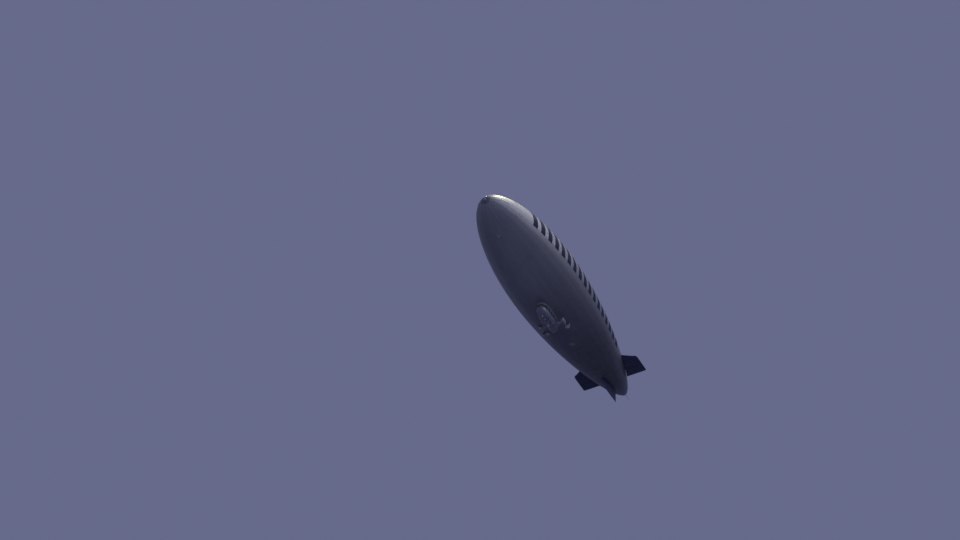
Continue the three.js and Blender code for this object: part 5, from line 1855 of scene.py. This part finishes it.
def nacelle(word, side, paint, steel, dark):
    """A streamlined cowl with bands, louvres, seams, exhaust pipes and an air intake."""
    shape = Shape()
    centre = (0, side * ENGINE_Y, ENGINE_Z)
    outer, inner = nacelle_profile(0), nacelle_profile(NACELLE_WALL)
    lip = [(0.1285, 0.111), (0.1315, 0.1135), (0.1315, 0.1165)]
    shape.lathe(lip + outer + inner[::-1], centre, FORWARD, 64, 0, loop=True)
    name = word + "_nacelle"
    shape.build(name + "_cowl", "root", [paint], replaces=name, sharp=50)
    trim = Shape()
    for x in (0.06, -0.1, -0.33, -0.52):
        radius = (nacelle_point(side, x, 0)[0] - Vector((x, side * ENGINE_Y, ENGINE_Z))).length
        band = ((-0.009, -0.002), (-0.008, 0.0015), (0.008, 0.0015), (0.009, -0.002))
        trim.lathe([(x + along, radius + out) for along, out in band], centre, FORWARD, 64, 0, loop=True)
        for i in range(24):
            point, way = nacelle_point(side, x, 15 * i + 7, 0.001)
            trim.dome(point, way, 0.0032, 1)
    for middle in (-20, 200):
        for i in range(6):
            spots = [nacelle_point(side, -0.14 - 0.028 * i, middle + 6 * j) for j in range(-3, 4)]
            trim.strip([point for point, _ in spots], [way for _, way in spots], 0.018, 0.007, 0, LOUVRE)
    for angle in (90, 270):
        spots = [nacelle_point(side, x, angle) for x in evenly(0.09, -0.6, 21)]
        trim.strip([point for point, _ in spots], [way for _, way in spots], 0.014, 0.0015, 0)
    for x, angle in EXHAUSTS:
        start, way = nacelle_point(side, x, angle, -0.02)
        ends = ((0, 0), (0.03, 0), (0.05, 0.03), (0.056, 0.08))
        trim.pipe(spline([start + way * out - FORWARD * back for out, back in ends], 4), 0.016, 0.002, 16, 2)
    start, _ = nacelle_point(side, -0.02, 90)
    intake = ((0.045, 0.004), (0, 0.004), (-0.07, -0.02))
    trim.pipe([start + Vector((x, 0, z)) for x, z in intake], 0.03, 0.003, 24, 0)
    trim.build(name + "_trim", "root", [paint, steel, dark])


CYLINDERS = {"count": 3, "first": -0.065, "pitch": 0.09, "fins": 11}
PULLEY = (
    (-0.025, 0.07), (-0.004, 0.07), (0.0, 0.065), (0.002, 0.03), (0.014, 0.03), (0.016, 0.05), (0.02, 0.046),
    (0.026, 0.046), (0.03, 0.05), (0.034, 0.05), (0.036, 0.02),
)


def cylinder(shape, x, y, z, way):
    """A finned cylinder with its rocker cover and ignition lead."""
    profile = [(0.04, 0.03)]
    fin = ((0.052, 0.03), (0.053, 0.039), (0.0555, 0.039), (0.0565, 0.03))
    for i in range(CYLINDERS["fins"]):
        profile += [(along + 0.0065 * i, radius) for along, radius in fin]
    shape.lathe(profile, (x, y, z), (0, way, 0), 20)
    near, far = sorted((y + way * 0.122, y + way * 0.146))
    shape.box((x - 0.034, near, z - 0.03), (x + 0.034, far, z + 0.03), 1)
    lead = [Vector((x, y + way * 0.135, z + 0.02)), Vector((x - 0.01, y + way * 0.11, z + 0.075)),
            Vector((-0.2, y + way * 0.03, z + 0.085)), Vector((-0.31, y + way * 0.02, z + 0.05))]
    shape.tube(spline(lead, 4), 0.0035, 6, 2)


def engine(word, side, iron, steel, rubber):
    """A flat six: crankcase, finned cylinders, rocker covers, pulley, mounts, leads and shaft."""
    shape = Shape()
    y, z = side * ENGINE_Y, ENGINE_Z
    middle = Vector((0, y, z))
    shape.box((-0.31, y - 0.052, z - 0.055), (-0.02, y + 0.052, z + 0.05))
    shape.box((-0.27, y - 0.04, z - 0.085), (-0.06, y + 0.04, z - 0.05))
    for i in range(CYLINDERS["count"]):
        for way in (1, -1):
            cylinder(shape, CYLINDERS["first"] - CYLINDERS["pitch"] * i, y, z, way)
    shape.lathe(PULLEY, middle, FORWARD, 32)
    for point in circle(middle - FORWARD * 0.002, 0.06, 8, PORT, UP):
        shape.dome(point, FORWARD, 0.005, 1)
    end = PROPELLER["x"] + PROPELLER["half_hub"] + 0.0003
    shape.tube([(-0.3, y, z), (end + 0.02, y, z)], 0.024, 24, 1)
    flange = [(end + 0.024, 0.024), (end + 0.022, 0.05), (end + 0.004, 0.05), (end, 0.048)]
    shape.lathe(flange, middle, FORWARD, 32, 1)
    rear = [(-0.31, 0.05), (-0.33, 0.045), (-0.36, 0.034), (-0.4, 0.03), (-0.42, 0.025)]
    shape.lathe(rear, middle, FORWARD, 24)
    for sy in (1, -1):
        for sz in (1, -1):
            for first, last, reach in ((-0.3, -0.37, 0.109), (-0.1, -0.06, 0.114)):
                ends = [(first, y + sy * 0.045, z + sz * 0.045), (last, y + sy * reach, z + sz * reach)]
                shape.tube(ends, 0.008, 10, 1)
        magneto = (-0.31, y + sy * 0.028, z + 0.03)
        shape.lathe([(0, 0.018), (0.05, 0.018), (0.055, 0.012)], magneto, -FORWARD, 16)
    name = word + "_engine"
    shape.build(name + "_block", "root", [iron, steel, rubber], replaces=name, bevel=0.002)


def wall_y(x, z):
    """Half width of the car's outside at a place."""
    return car_point(car_turn(("x", x, 1), z), z).y


def nacelle_y(_, z):
    """Y of a nacelle's inboard side at a height, called in the same way as wall_y."""
    return ENGINE_Y - math.sqrt(0.172**2 - (z - ENGINE_Z) ** 2)


BEAM_AT_CAR = ((-0.012, 1.22), (0.004, 1.22), (0.006, 1.19), (0.01, 1.06), (0.025, 1.0))  # out and scale
BEAM_AT_NACELLE = ((-0.025, 1.0), (-0.01, 1.06), (-0.006, 1.19), (-0.003, 1.22), (0.006, 1.22))


def outrigger(word, side, paint, steel, rubber):
    """A streamlined beam and a strut, with flanges where they meet the car and the nacelle."""
    shape = Shape()
    middle, chord, thick = OUTRIGGER["x"], OUTRIGGER["chord"], OUTRIGGER["thick"]

    def section(reach_of, out, scale):
        ring = []
        for turn in full_turn(40):
            x = middle + chord * scale * math.cos(turn)
            z = ENGINE_Z + thick * (scale * 1.3 - 0.3) * math.sin(turn)
            ring.append(Vector((x, side * (reach_of(x, z) + out), z)))
        return ring

    rings = [section(wall_y, out, scale) for out, scale in BEAM_AT_CAR]
    rings += [section(lambda x, z: 0, mix(0.52, 0.9, share), 1.0) for share in (0, 0.33, 0.66, 1)]
    rings += [section(nacelle_y, out, scale) for out, scale in BEAM_AT_NACELLE]
    shape.loft(rings)
    for turn in full_turn(16):
        x = middle + chord * 1.13 * math.cos(turn)
        z = ENGINE_Z + thick * 1.22 * math.sin(turn)
        shape.dome((x, side * (wall_y(x, z) + 0.007), z), (0, side, 0), 0.004, 1)
        shape.dome((x, side * (nacelle_y(x, z) - 0.007), z), (0, -side, 0), 0.004, 1)
    outs = [Vector((math.cos(t) / chord, 0, math.sin(t) / thick)).normalized() for t in full_turn(40)]
    for y in (0.6, 0.75, 0.88):
        points = oval(Vector((middle, side * y, ENGINE_Z)), chord, thick, 1, 40, FORWARD, UP)
        shape.strip(points + points[:1], outs + outs[:1], 0.02, 0.0015, 0)
    low, high = Vector((middle, side * 0.43, -4.439)), Vector((middle, side * 0.92, ENGINE_Z - 0.005))
    way = (high - low).normalized()
    shape.tube([low, high], OUTRIGGER["strut"], 20)
    foot = [(-0.03, 0.045), (0.0, 0.043), (0.006, 0.036), (0.03, 0.026), (0.04, 0.021)]
    shape.lathe(foot, low + way * 0.03, way, 24)
    shape.lathe([(-0.075, 0.021), (-0.06, 0.026), (-0.03, 0.03), (0, 0.03)], high - way * 0.04, way, 24)
    for shift, radius in ((-0.136, 0.006), (-0.146, 0.0045)):
        x = middle + shift
        ends = ((wall_y(x, ENGINE_Z), 0), (0.6, 0.004), (0.8, -0.004), (0.96, 0))
        path = [Vector((x, side * y, ENGINE_Z + rise)) for y, rise in ends]
        shape.tube(spline(path, 5), radius, 8, 2)
    for y in (0.56, 0.7, 0.84):
        clip = Vector((middle - 0.1375, side * y, ENGINE_Z))
        half = Vector((0.0175, 0.006, 0.011))
        shape.box(clip - half, clip + half, 1)
    name = word + "_outrigger"
    shape.build(name + "_beam", "root", [paint, steel, rubber], replaces=name)


BLADE_CLAMP = ((0.045, 0.033), (0.066, 0.031), (0.07, 0.026), (0.078, 0.025), (0.08, 0.02))
TIP_PAINT = 0.44  # radius from which the tips are painted


def blade_ring(at, way, centre):
    """The outline of a propeller's blade at a share of its radius."""
    chord, thick, pitch = (np.interp(at, BLADE["at"], BLADE[key]) for key in ("chord", "thick", "pitch"))
    tip = math.sqrt(max(1 - (max(at - 0.94, 0) / 0.061) ** 2, 0))
    root = max(0.2 - at, 0) / 0.1
    c, s = math.cos(math.radians(pitch)), math.sin(math.radians(pitch))
    ring = []
    for t in full_turn(22):
        along = -0.5 * math.cos(t)
        rise = math.sin(t) * (0.5 + 0.13 * math.cos(t) * (1 - root)) + 0.18 * (1 - 4 * along**2) * (1 - root)
        u, w = along * chord * tip, rise * thick * (0.4 + 0.6 * tip)
        ring.append(centre + Vector((u * s + w * c, way * (u * c - w * s), way * at * PROPELLER["radius"])))
    return ring


def propeller(word, side, black, pale, steel):
    """Two twisted blades with rounded tips, a hub with blade clamps, and a spinner."""
    shape = Shape()
    centre = Vector((PROPELLER["x"], side * ENGINE_Y, ENGINE_Z))
    half, hub = PROPELLER["half_hub"], PROPELLER["hub"]
    profile = [(half, 0.03), (half, hub - 0.004), (half - 0.004, hub), (0.006 - half, hub)]
    profile += [(0.003 - half, hub - 0.002), (-half, hub - 0.002), (-half - 0.003, hub)]
    for i in range(1, 13):
        share = math.sin(math.pi / 2 * i / 12.5)
        back = half + 0.003 + (PROPELLER["spinner"] - 0.004) * share
        profile.append((-back, hub * math.sqrt(1 - share**2.4)))
    shape.lathe(profile, centre, FORWARD, 48, 0)
    for way in (1, -1):
        shape.loft([blade_ring(mix(0.1, 1.0, share**0.9), way, centre) for share in evenly(0, 1, 30)], 0)
        shape.lathe(BLADE_CLAMP, centre, (0, 0, way), 24, 2)
    for way in circle(ORIGIN, 1, 8, PORT, UP, 0.5):
        shape.dome(centre - FORWARD * 0.02 + way * hub, way, 0.004, 2)
    name = word + "_propeller"
    piece = shape.build(name + "_blades", name, [black, pale, steel], replaces=name)
    for face in piece.data.polygons:
        if face.material_index == 0 and (face.center - centre).yz.length > TIP_PAINT:
            face.material_index = 1


SCOOP_BRACE = {"rise": 0.075, "back": 0.45, "spread": (0.09, -0.09)}
COLLAR_RADIUS = 0.15


def air_scoop(word, side, paint, steel, tape):
    """A curved duct with a rolled lip and hoops, whose top is laced to the envelope."""
    shape = Shape()
    y = side * SCOOP_Y
    path = spline([(x, y, z) for x, z in SCOOP_PATH], 12)
    shape.pipe(path, SCOOP_OUTER, SCOOP_OUTER - SCOOP_INNER, 48, 0)
    shape.tube(circle(path[0] - FORWARD * 0.004, 0.114, 48, PORT, UP), 0.0085, 10, 0, loop=True)
    for i in (5, 12, 19, 26, 33):
        along = (path[i + 1] - path[i - 1]).normalized()
        hoop = [(-0.012, 0.1185), (-0.011, 0.1225), (0.011, 0.1225), (0.012, 0.1185)]
        shape.lathe(hoop, path[i], along, 48, 0, loop=True)
        across = along.orthogonal().normalized()
        for way in circle(ORIGIN, 1, 18, across, along.cross(across)):
            shape.dome(path[i] + way * 0.122, way, 0.0034, 1)
    for shift in SCOOP_BRACE["spread"]:
        start = path[8] + Vector((0, shift, SCOOP_BRACE["rise"]))
        start.y = y + shift
        place = NOSE_X - path[8].x - SCOOP_BRACE["back"]
        angle = angle_under(place, y + shift * 2.2)
        foot = on_hull(place, angle, 0.004)
        shape.tube([start, foot], 0.007, 10, 1)
        shape.lathe([(-0.01, 0.03), (0.002, 0.028), (0.006, 0.012)], foot, out_of_hull(place, angle), 20, 1)
        hull_strip(shape, [(place - 0.06, angle), (place + 0.06, angle)], 0.11, 0.004, 2)
    collar = []
    for t in full_turn(48):
        place = NOSE_X - (path[-1].x + 0.012 + COLLAR_RADIUS * math.cos(t))
        collar.append((place, angle_under(place, y + COLLAR_RADIUS * math.sin(t))))
    collar += collar[:1]
    hull_strip(shape, collar, 0.075, 0.005, 2)
    for place, angle in collar[::3]:
        hull_dome(shape, place, angle, 0.006, 0.005, 1)
    name = word + "_air_scoop"
    shape.build(name + "_duct", "root", [paint, steel, tape], replaces=name)


# Landing gear and hand rails


GEAR_X = 0.7
SWIVEL = -5.1
AXLE = Vector((0.61, 0, -5.395))
WHEEL_RADIUS = 0.165
BRACE = {"x": 0.3, "y": 0.19, "low": -4.99, "radius": 0.0135}
RAIL = {"y": 0.4, "z": -4.745, "radius": 0.011, "front": 1.75, "rear": -0.15, "posts": 4, "post": 0.0085}


GEAR_TUBE = (
    (-0.004, 0.08), (0.006, 0.08), (0.009, 0.076), (0.01, 0.05), (0.02, 0.042), (0.03, 0.038), (0.25, 0.038),
    (0.252, 0.047), (0.29, 0.047), (0.292, 0.037), (0.3, 0.036),
)
GEAR_COLLAR = ((0.355, 0.034), (0.361, 0.036), (0.362, 0.058), (0.364, 0.06), (0.38, 0.06), (0.38, 0.02))
PIN_REACH = 0.012


def gear_brace(shape, sx, sy):
    """One of the four struts from the car's belly to the leg, with its foot plate and pins."""
    x, y, radius = GEAR_X + sx * BRACE["x"], sy * BRACE["y"], BRACE["radius"]
    head = Vector((x, y, on_belly(x, y) + 0.002))
    foot = Vector((GEAR_X + sx * 0.04, sy * 0.026, BRACE["low"] + 0.025))
    way = (foot - head).normalized()
    shape.tube([head, head + way * 0.04, foot - way * 0.04, foot], [0.008, radius, radius, 0.008], 16, 0)
    shape.lathe([(-0.01, 0.04), (0.004, 0.04), (0.006, 0.037), (0.007, 0.015)], head, -UP, 24, 0)
    pin(shape, head - UP * 0.01, 0.02, 0.009)
    pin(shape, foot, PIN_REACH, 0.009)


def pin(shape, point, reach, radius):
    shape.tube([point - PORT * reach, point + PORT * reach], radius, 10, 1)


def gear_leg(paint, steel, rubber, dark):
    """The tube with its gaiter and collar, four braces, torque links and a hose."""
    shape = Shape()
    top = Vector((GEAR_X, 0, KEEL))
    shape.lathe(GEAR_TUBE, top, -UP, 40, 0)
    folds = [(0.298, 0.034)]
    for i in range(5):
        folds += [(0.303 + 0.012 * i, 0.041), (0.309 + 0.012 * i, 0.034)]
    shape.lathe(folds, top, -UP, 40, 2)
    shape.lathe(GEAR_COLLAR, top, -UP, 40, 1)
    for way in circle(ORIGIN, 1, 8, FORWARD, PORT, 0.5):
        shape.dome(top + way * 0.066 - UP * 0.007, -UP, 0.006, 1)
        shape.dome(top + way * 0.05 - UP * 0.362, UP, 0.005, 1)
    for sx in (1, -1):
        for sy in (1, -1):
            gear_brace(shape, sx, sy)
    knee = Vector((GEAR_X + 0.1, 0, -5.045))
    for y in (0.014, -0.014):
        for z in (-5.0, -5.086):
            shape.tube([Vector((GEAR_X + 0.045, y, z)), knee + PORT * (y * 0.4)], [0.008, 0.006], 8, 1)
    pin(shape, knee, 0.016, 0.008)
    hose = ((-0.045, 0.01, -4.8), (-0.06, 0.012, -4.9), (-0.05, 0.01, -5.0), (-0.055, 0.012, -5.085))
    shape.tube(spline([Vector((GEAR_X + x, y, z)) for x, y, z in hose], 5), 0.005, 8, 2)
    shape.build("gear_leg_strut", "root", [paint, steel, rubber, dark], replaces="gear_leg")


CROWN_HALF = 0.097
FORK_Y = 0.081
FORK_PLATE = ((0.0003, 0.02), (0.0003, 0.059), (0.002, 0.06), (0.018, 0.06), (0.021, 0.056), (0.026, 0.045))
AXLE_BOSS = (
    (0.0663, 0.018), (0.0663, 0.0225), (0.068, 0.024), (0.094, 0.024), (0.097, 0.022), (0.098, 0.012),
)


def gear_fork(paint, steel):
    """The swivel plate, a crown, and two tapered blades with axle bosses."""
    shape = Shape()
    swivel = Vector((GEAR_X, 0, SWIVEL))
    shape.lathe(FORK_PLATE, swivel, -UP, 40, 0)
    for point in circle(swivel - UP * 0.019, 0.05, 6, FORWARD, PORT):
        shape.dome(point, -UP, 0.006, 1)
    crown = []
    for y in evenly(-CROWN_HALF, CROWN_HALF, 17):
        share = abs(y / CROWN_HALF)
        slim = 1 - 0.5 * share**3
        low, high = -5.154 + 0.004 * (1 - slim), -5.117 - 0.014 * share**2
        middle = Vector((GEAR_X - 0.003, y, (low + high) / 2))
        crown.append(oval(middle, 0.043 * slim**0.4, (high - low) / 2, 0.6, 16, FORWARD, UP))
    shape.loft(crown)
    for side in (1, -1):
        start = Vector((GEAR_X - 0.006, side * FORK_Y, -5.136))
        end = Vector((AXLE.x, side * FORK_Y, AXLE.z))
        across = PORT.cross((end - start).normalized()).normalized()
        rings = []
        for share in evenly(0, 1, 13):
            wide, thick = mix(0.03, 0.017, share**0.7), mix(0.014, 0.0105, share)
            rings.append(oval(mix(start, end, share), wide, thick, 1, 16, across))
        shape.loft(rings)
        shape.lathe(AXLE_BOSS, AXLE, (0, side, 0), 28, 0)
        shape.lathe([(0.096, 0.0145), (0.103, 0.0145), (0.105, 0.012)], AXLE, (0, side, 0), 6, 1)
        shape.tube([AXLE + PORT * (side * 0.1), AXLE + PORT * (side * 0.108)], 0.007, 12, 1)
    shape.build("gear_fork_frame", "gear_fork", [paint, steel], replaces="gear_fork")


TYRE_SIDE = (
    (0.098, 0.036), (0.1, 0.0445), (0.106, 0.049), (0.116, 0.0535), (0.127, 0.0548), (0.138, 0.0535),
    (0.148, 0.049), (0.1555, 0.0425), (0.16, 0.034),
)
GROOVES = {"at": (0.026, 0.009), "depth": 0.0045}
WHEEL_DISC = (
    (0.03, 0.1), (0.046, 0.101), (0.048, 0.098), (0.046, 0.093), (0.03, 0.09), (0.022, 0.075), (0.024, 0.05),
    (0.03, 0.042), (0.05, 0.036), (0.062, 0.03), (0.065, 0.027), (0.066, 0.024), (0.066, 0.012),
)
SHOULDER = ((0.1545, 0.0425), (0.148, 0.0485), (0.141, 0.0525))


def landing_wheel(tyre, rim, steel):
    """A ribbed tyre on a bolted hub."""
    shape = Shape()
    section = list(TYRE_SIDE)
    for groove in GROOVES["at"]:
        level = WHEEL_RADIUS - 0.0016 * (groove / GROOVES["at"][0]) ** 2
        bottom = level - GROOVES["depth"]
        section += [(level, groove + 0.0028), (bottom, groove + 0.002), (bottom, groove - 0.002)]
        section.append((level, groove - 0.0028))
    ring = [(y, radius) for radius, y in section] + [(-y, radius) for radius, y in reversed(section)]
    shape.lathe(ring, AXLE, PORT, 84, 0, loop=True)
    for side in (1, -1):
        aside = PORT * side
        for way in circle(ORIGIN, 1, 42, FORWARD, UP):
            spots = [AXLE + way * radius + aside * y for radius, y in SHOULDER]
            shape.strip(spots, [(way + aside).normalized()] * 3, 0.006, 0.0012, 0)
        shape.lathe(WHEEL_DISC, AXLE, aside, 60, 1)
        for spot in circle(AXLE + aside * 0.022, 0.06, 8, FORWARD, UP):
            shape.lathe([(0, 0.0065), (0.006, 0.0065), (0.008, 0.005)], spot, aside, 6, 2)
    stem = AXLE + Vector((0.085, 0.026, 0))
    shape.tube([stem, stem + Vector((-0.004, 0.018, 0))], 0.0035, 8, 2)
    shape.build("landing_wheel_tyre", "landing_wheel", [tyre, rim, steel], replaces="landing_wheel")


def hand_rail(word, side, steel, rubber):
    """A rail with round ends, rubber grips and posts up to the car's belly."""
    shape = Shape()
    y, z, radius = side * RAIL["y"], RAIL["z"], RAIL["radius"]
    rear, front = RAIL["rear"], RAIL["front"]
    middle = evenly(rear + 0.03, front - 0.03, 11)
    places = [rear, rear + 0.004, rear + 0.012, *middle, front - 0.012, front - 0.004, front]
    shape.tube([(x, y, z) for x in places], [0.005, 0.0095, *[radius] * (len(middle) + 2), 0.0095, 0.005], 16)
    foot = [(-0.012, 0.026), (0.0, 0.026), (0.003, 0.022), (0.012, 0.0095)]
    for x in evenly(rear + 0.06, front - 0.06, RAIL["posts"]):
        top = on_belly(x, y) + 0.004
        shape.tube([(x, y, z), (x, y, top)], RAIL["post"], 14)
        shape.tube([(x - 0.022, y, z), (x + 0.022, y, z)], radius + 0.0025, 16)
        shape.lathe(foot, (x, y, top - 0.012), -UP, 20)
    for first, last in ((0.1, 0.42), (1.12, 1.44)):
        grip = [(x, y, z) for x in (first, first + 0.004, last - 0.004, last)]
        shape.tube(grip, [0.0112, 0.0135, 0.0135, 0.0112], 16, 1)
    shape.build(word + "_hand_rail_tube", "root", [steel, rubber], replaces=word + "_hand_rail")


# Stage


CAMERA = {
    "toward": Vector((0.643, 0.3165, -0.698)),  # from the hull's middle to the camera
    "distance": 219.8,
    "lens": 87.7,
    "aim_right": -7.28,
    "aim_up": 2.95,
    "roll": -0.5,
    "height": 0.6,  # of the camera above the floor
}
LIGHT_REACH = 50.0
LIGHTS = (  # name, the way to it, its size, its power and its colour
    ("key", (0.1, 0.62, 0.78), 70.0, 19400, (0.96, 0.96, 1.0)),
    ("crest", (0.06, 0.12, 0.98), 10.0, 14500, (1.0, 0.96, 0.5)),
    ("starboard_fill", (0.35, -0.85, 0.4), 30.0, 2600, (0.9, 0.94, 1.0)),
    ("front_fill", (0.8, 0.5, -0.33), 14.0, 3900, (0.69, 0.75, 1.0)),
)
FLOOR_REACH = 6000
SURROUNDINGS = (0.135, 0.145, 0.258, 1)


def make_camera():
    """A camera near the floor that looks up at the airship, as in the photograph."""
    middle = Vector((NOSE_X - HULL_LENGTH / 2, 0, 0))
    toward = CAMERA["toward"].normalized()
    right = UP.cross(toward).normalized()
    up = toward.cross(right)
    data = bpy.data.cameras.new("camera")
    data.lens = CAMERA["lens"]
    data.clip_end = 5000
    camera = bpy.data.objects.new("camera", data)
    camera.location = middle + toward * CAMERA["distance"]
    target = middle + right * CAMERA["aim_right"] + up * CAMERA["aim_up"]
    back = (camera.location - target).normalized()
    side = up.cross(back).normalized()
    level = Matrix((side, back.cross(side), back)).transposed()
    roll = Matrix.Rotation(math.radians(CAMERA["roll"]), 3, "Z")
    camera.rotation_euler = (level @ roll).to_euler()
    bpy.context.scene.collection.objects.link(camera)
    bpy.context.scene.camera = camera
    return camera


def area_light(name, way, size, watts, colour):
    """A disc light that faces the origin."""
    data = bpy.data.lights.new(name, "AREA")
    data.shape = "DISK"
    data.size = size
    data.energy = watts
    data.color = colour
    light = bpy.data.objects.new(name, data)
    light.location = Vector(way).normalized() * LIGHT_REACH
    light.rotation_euler = (-light.location).to_track_quat("-Z", "Y").to_euler()
    light.visible_camera = False
    light.visible_glossy = not name.endswith("_fill")
    bpy.context.scene.collection.objects.link(light)


def make_stage(camera):
    """A pale floor under the camera, even light all round, and the lights."""
    made, tree, shader = material("pale_floor", roughness=0.9)
    speckle = noise(tree, object_place(tree), 0.05, 3)
    colour_of(tree, shader, ramp(tree, speckle, (0.3, (0.60, 0.61, 0.66)), (0.7, (0.64, 0.65, 0.70))))
    level = camera.location.z - CAMERA["height"]
    corners = [(x * FLOOR_REACH, y * FLOOR_REACH, level) for x, y in ((-1, -1), (1, -1), (1, 1), (-1, 1))]
    floor = new_object("floor", corners, [(0, 1, 2, 3)])
    floor.data.materials.append(made)
    world = bpy.data.worlds.new("studio")
    world.use_nodes = True
    background = world.node_tree.nodes["Background"].inputs
    background[0].default_value = SURROUNDINGS
    background[1].default_value = 1.0
    bpy.context.scene.world = world
    bpy.context.scene.view_settings.view_transform = "Standard"
    for light in LIGHTS:
        area_light(*light)


camera = make_camera()
make_stage(camera)

cloth = envelope_cloth("aluminised_cloth")
tape = envelope_cloth("seam_tape", 0.88)
navy = plain_cloth("navy_cloth", (0.045, 0.053, 0.1), (0.032, 0.039, 0.078), 0.58, gloss=0.22)
navy_tape = plain_cloth("navy_tape", (0.053, 0.062, 0.115), (0.039, 0.046, 0.088), 0.6, gloss=0.22)
bar_paint = plain_cloth("bar_paint", (0.014, 0.02, 0.058), (0.010, 0.015, 0.044), 0.8, gloss=0.12)
canvas = plain_cloth("grey_canvas", (0.2, 0.205, 0.225), (0.15, 0.155, 0.17), 0.75, 420)
lining = plain_cloth("cabin_lining", (0.5, 0.5, 0.47), (0.42, 0.42, 0.4), 0.85, 500)
webbing = plain_cloth("belt_webbing", (0.11, 0.115, 0.12), (0.08, 0.084, 0.09), 0.7, 700)
lacing_cord = plain_cloth("lacing_cord", (0.42, 0.41, 0.37), (0.3, 0.29, 0.26), 0.8, 600)
silver = painted("aluminium_paint", (0.36, 0.37, 0.4), 0.36, 0.55, 0.18)
shell_blue = painted("shell_paint", (0.14, 0.15, 0.2), 0.36, 0.2, 0.25, 0.2)
cowl_paint = painted("cowl_paint", (0.28, 0.29, 0.33), 0.3, 0.2, 0.16, 0.4)
dark_paint = painted("dark_paint", (0.055, 0.06, 0.078), 0.5, 0.1, 0.3)
nose_paint = painted("nose_paint", (0.12, 0.125, 0.155), 0.45, 0.2, 0.3)
instrument_black = painted("instrument_black", (0.022, 0.023, 0.026), 0.6, 0.0, 0.25)
blade_black = painted("blade_black", (0.018, 0.018, 0.021), 0.38, 0.0, 0.3, 0.3)
blade_tip = painted("blade_tip", (0.72, 0.7, 0.62), 0.4, 0.0, 0.2, 0.3)
dial_face = painted("dial_face", (0.012, 0.012, 0.014), 0.45, 0.0, 0.2)
dial_marks = painted("dial_marks", (0.78, 0.77, 0.68), 0.5, 0.0, 0.1)
steel = bare_metal("dull_steel", (0.48, 0.49, 0.51), (0.34, 0.345, 0.36), 0.42, (1, 1, 6))
cable = bare_metal("stay_cable", (0.2, 0.205, 0.215), (0.13, 0.132, 0.14), 0.5)
bright_steel = bare_metal("bright_steel", (0.66, 0.67, 0.69), (0.5, 0.51, 0.53), 0.24, (1, 8, 1))
iron = bare_metal("cast_iron", (0.16, 0.16, 0.165), (0.07, 0.068, 0.066), 0.55, (1, 1, 1), 160)
rubber = black_rubber("black_rubber")
tyre = black_rubber("tyre_rubber", 0.017, 0.78)
pane = clear_pane()
leather = creased_leather()
wood = varnished_wood()
red_lamp = lamp_glass("red_lamp", (0.6, 0.02, 0.015), 0.4)
green_lamp = lamp_glass("green_lamp", (0.01, 0.42, 0.09), 0.4)
white_lamp = lamp_glass("white_lamp", (0.8, 0.79, 0.72), 0.1)
cabin_lamp = lamp_glass("cabin_lamp", (0.9, 0.82, 0.66), 12.0)

envelope_skin(cloth)
envelope_seams(tape)
envelope_fittings(tape, steel, lacing_cord, dark_paint)
for word, side in SIDES:
    flank_bars(word, side, bar_paint)

nose_battens(silver, tape)
nose_dish(nose_paint, steel)
nose_spindle(bright_steel)
for name, place, angle in VALVES:
    valve_cover(name, place, angle, canvas, rubber, steel)
tail_cap(nose_paint, steel)
tail_boom(steel)

TIP_LAMPS = {"port": red_lamp, "starboard": green_lamp, "upper": white_lamp, "lower": None}
for name, surface, turn, tip in FINS:
    fin_body(name, turn, tip, [navy, navy_tape])
    control_surface(surface, turn, tip, navy)
    fin_fittings(name, turn, tip, navy_tape, steel, TIP_LAMPS[name])
    surface_fittings(surface, turn, tip, navy_tape, steel, dark_paint)
    for number in (1, 2):
        fin_stays(name, turn, tip, number, cable, tape)

car_shell(shell_blue, lining)
car_window_band(silver, lining)
car_glazing(pane, rubber, lining)
car_door(silver, lining, pane, rubber, steel)
car_trim(silver, rubber, steel, shell_blue)
car_equipment(silver, rubber, steel, dark_paint, red_lamp, white_lamp, shell_blue)
car_top(silver, lining)
car_skirt(silver, lacing_cord, tape, steel)

cabin_floor(ribbed_floor(), steel)
seats(leather, rubber, steel, webbing)
instrument_panel(instrument_black, rubber, dial_face, dial_marks, steel)
elevator_wheel(wood, steel, dark_paint)
cabin_fittings(lining, cabin_lamp, steel, dark_paint)

for word, side in SIDES:
    nacelle(word, side, cowl_paint, steel, iron)
    engine(word, side, iron, steel, rubber)
    outrigger(word, side, silver, steel, rubber)
    propeller(word, side, blade_black, blade_tip, steel)
    air_scoop(word, side, silver, steel, tape)
    hand_rail(word, side, steel, rubber)

gear_leg(silver, bright_steel, rubber, dark_paint)
gear_fork(silver, steel)
landing_wheel(tyre, silver, steel)
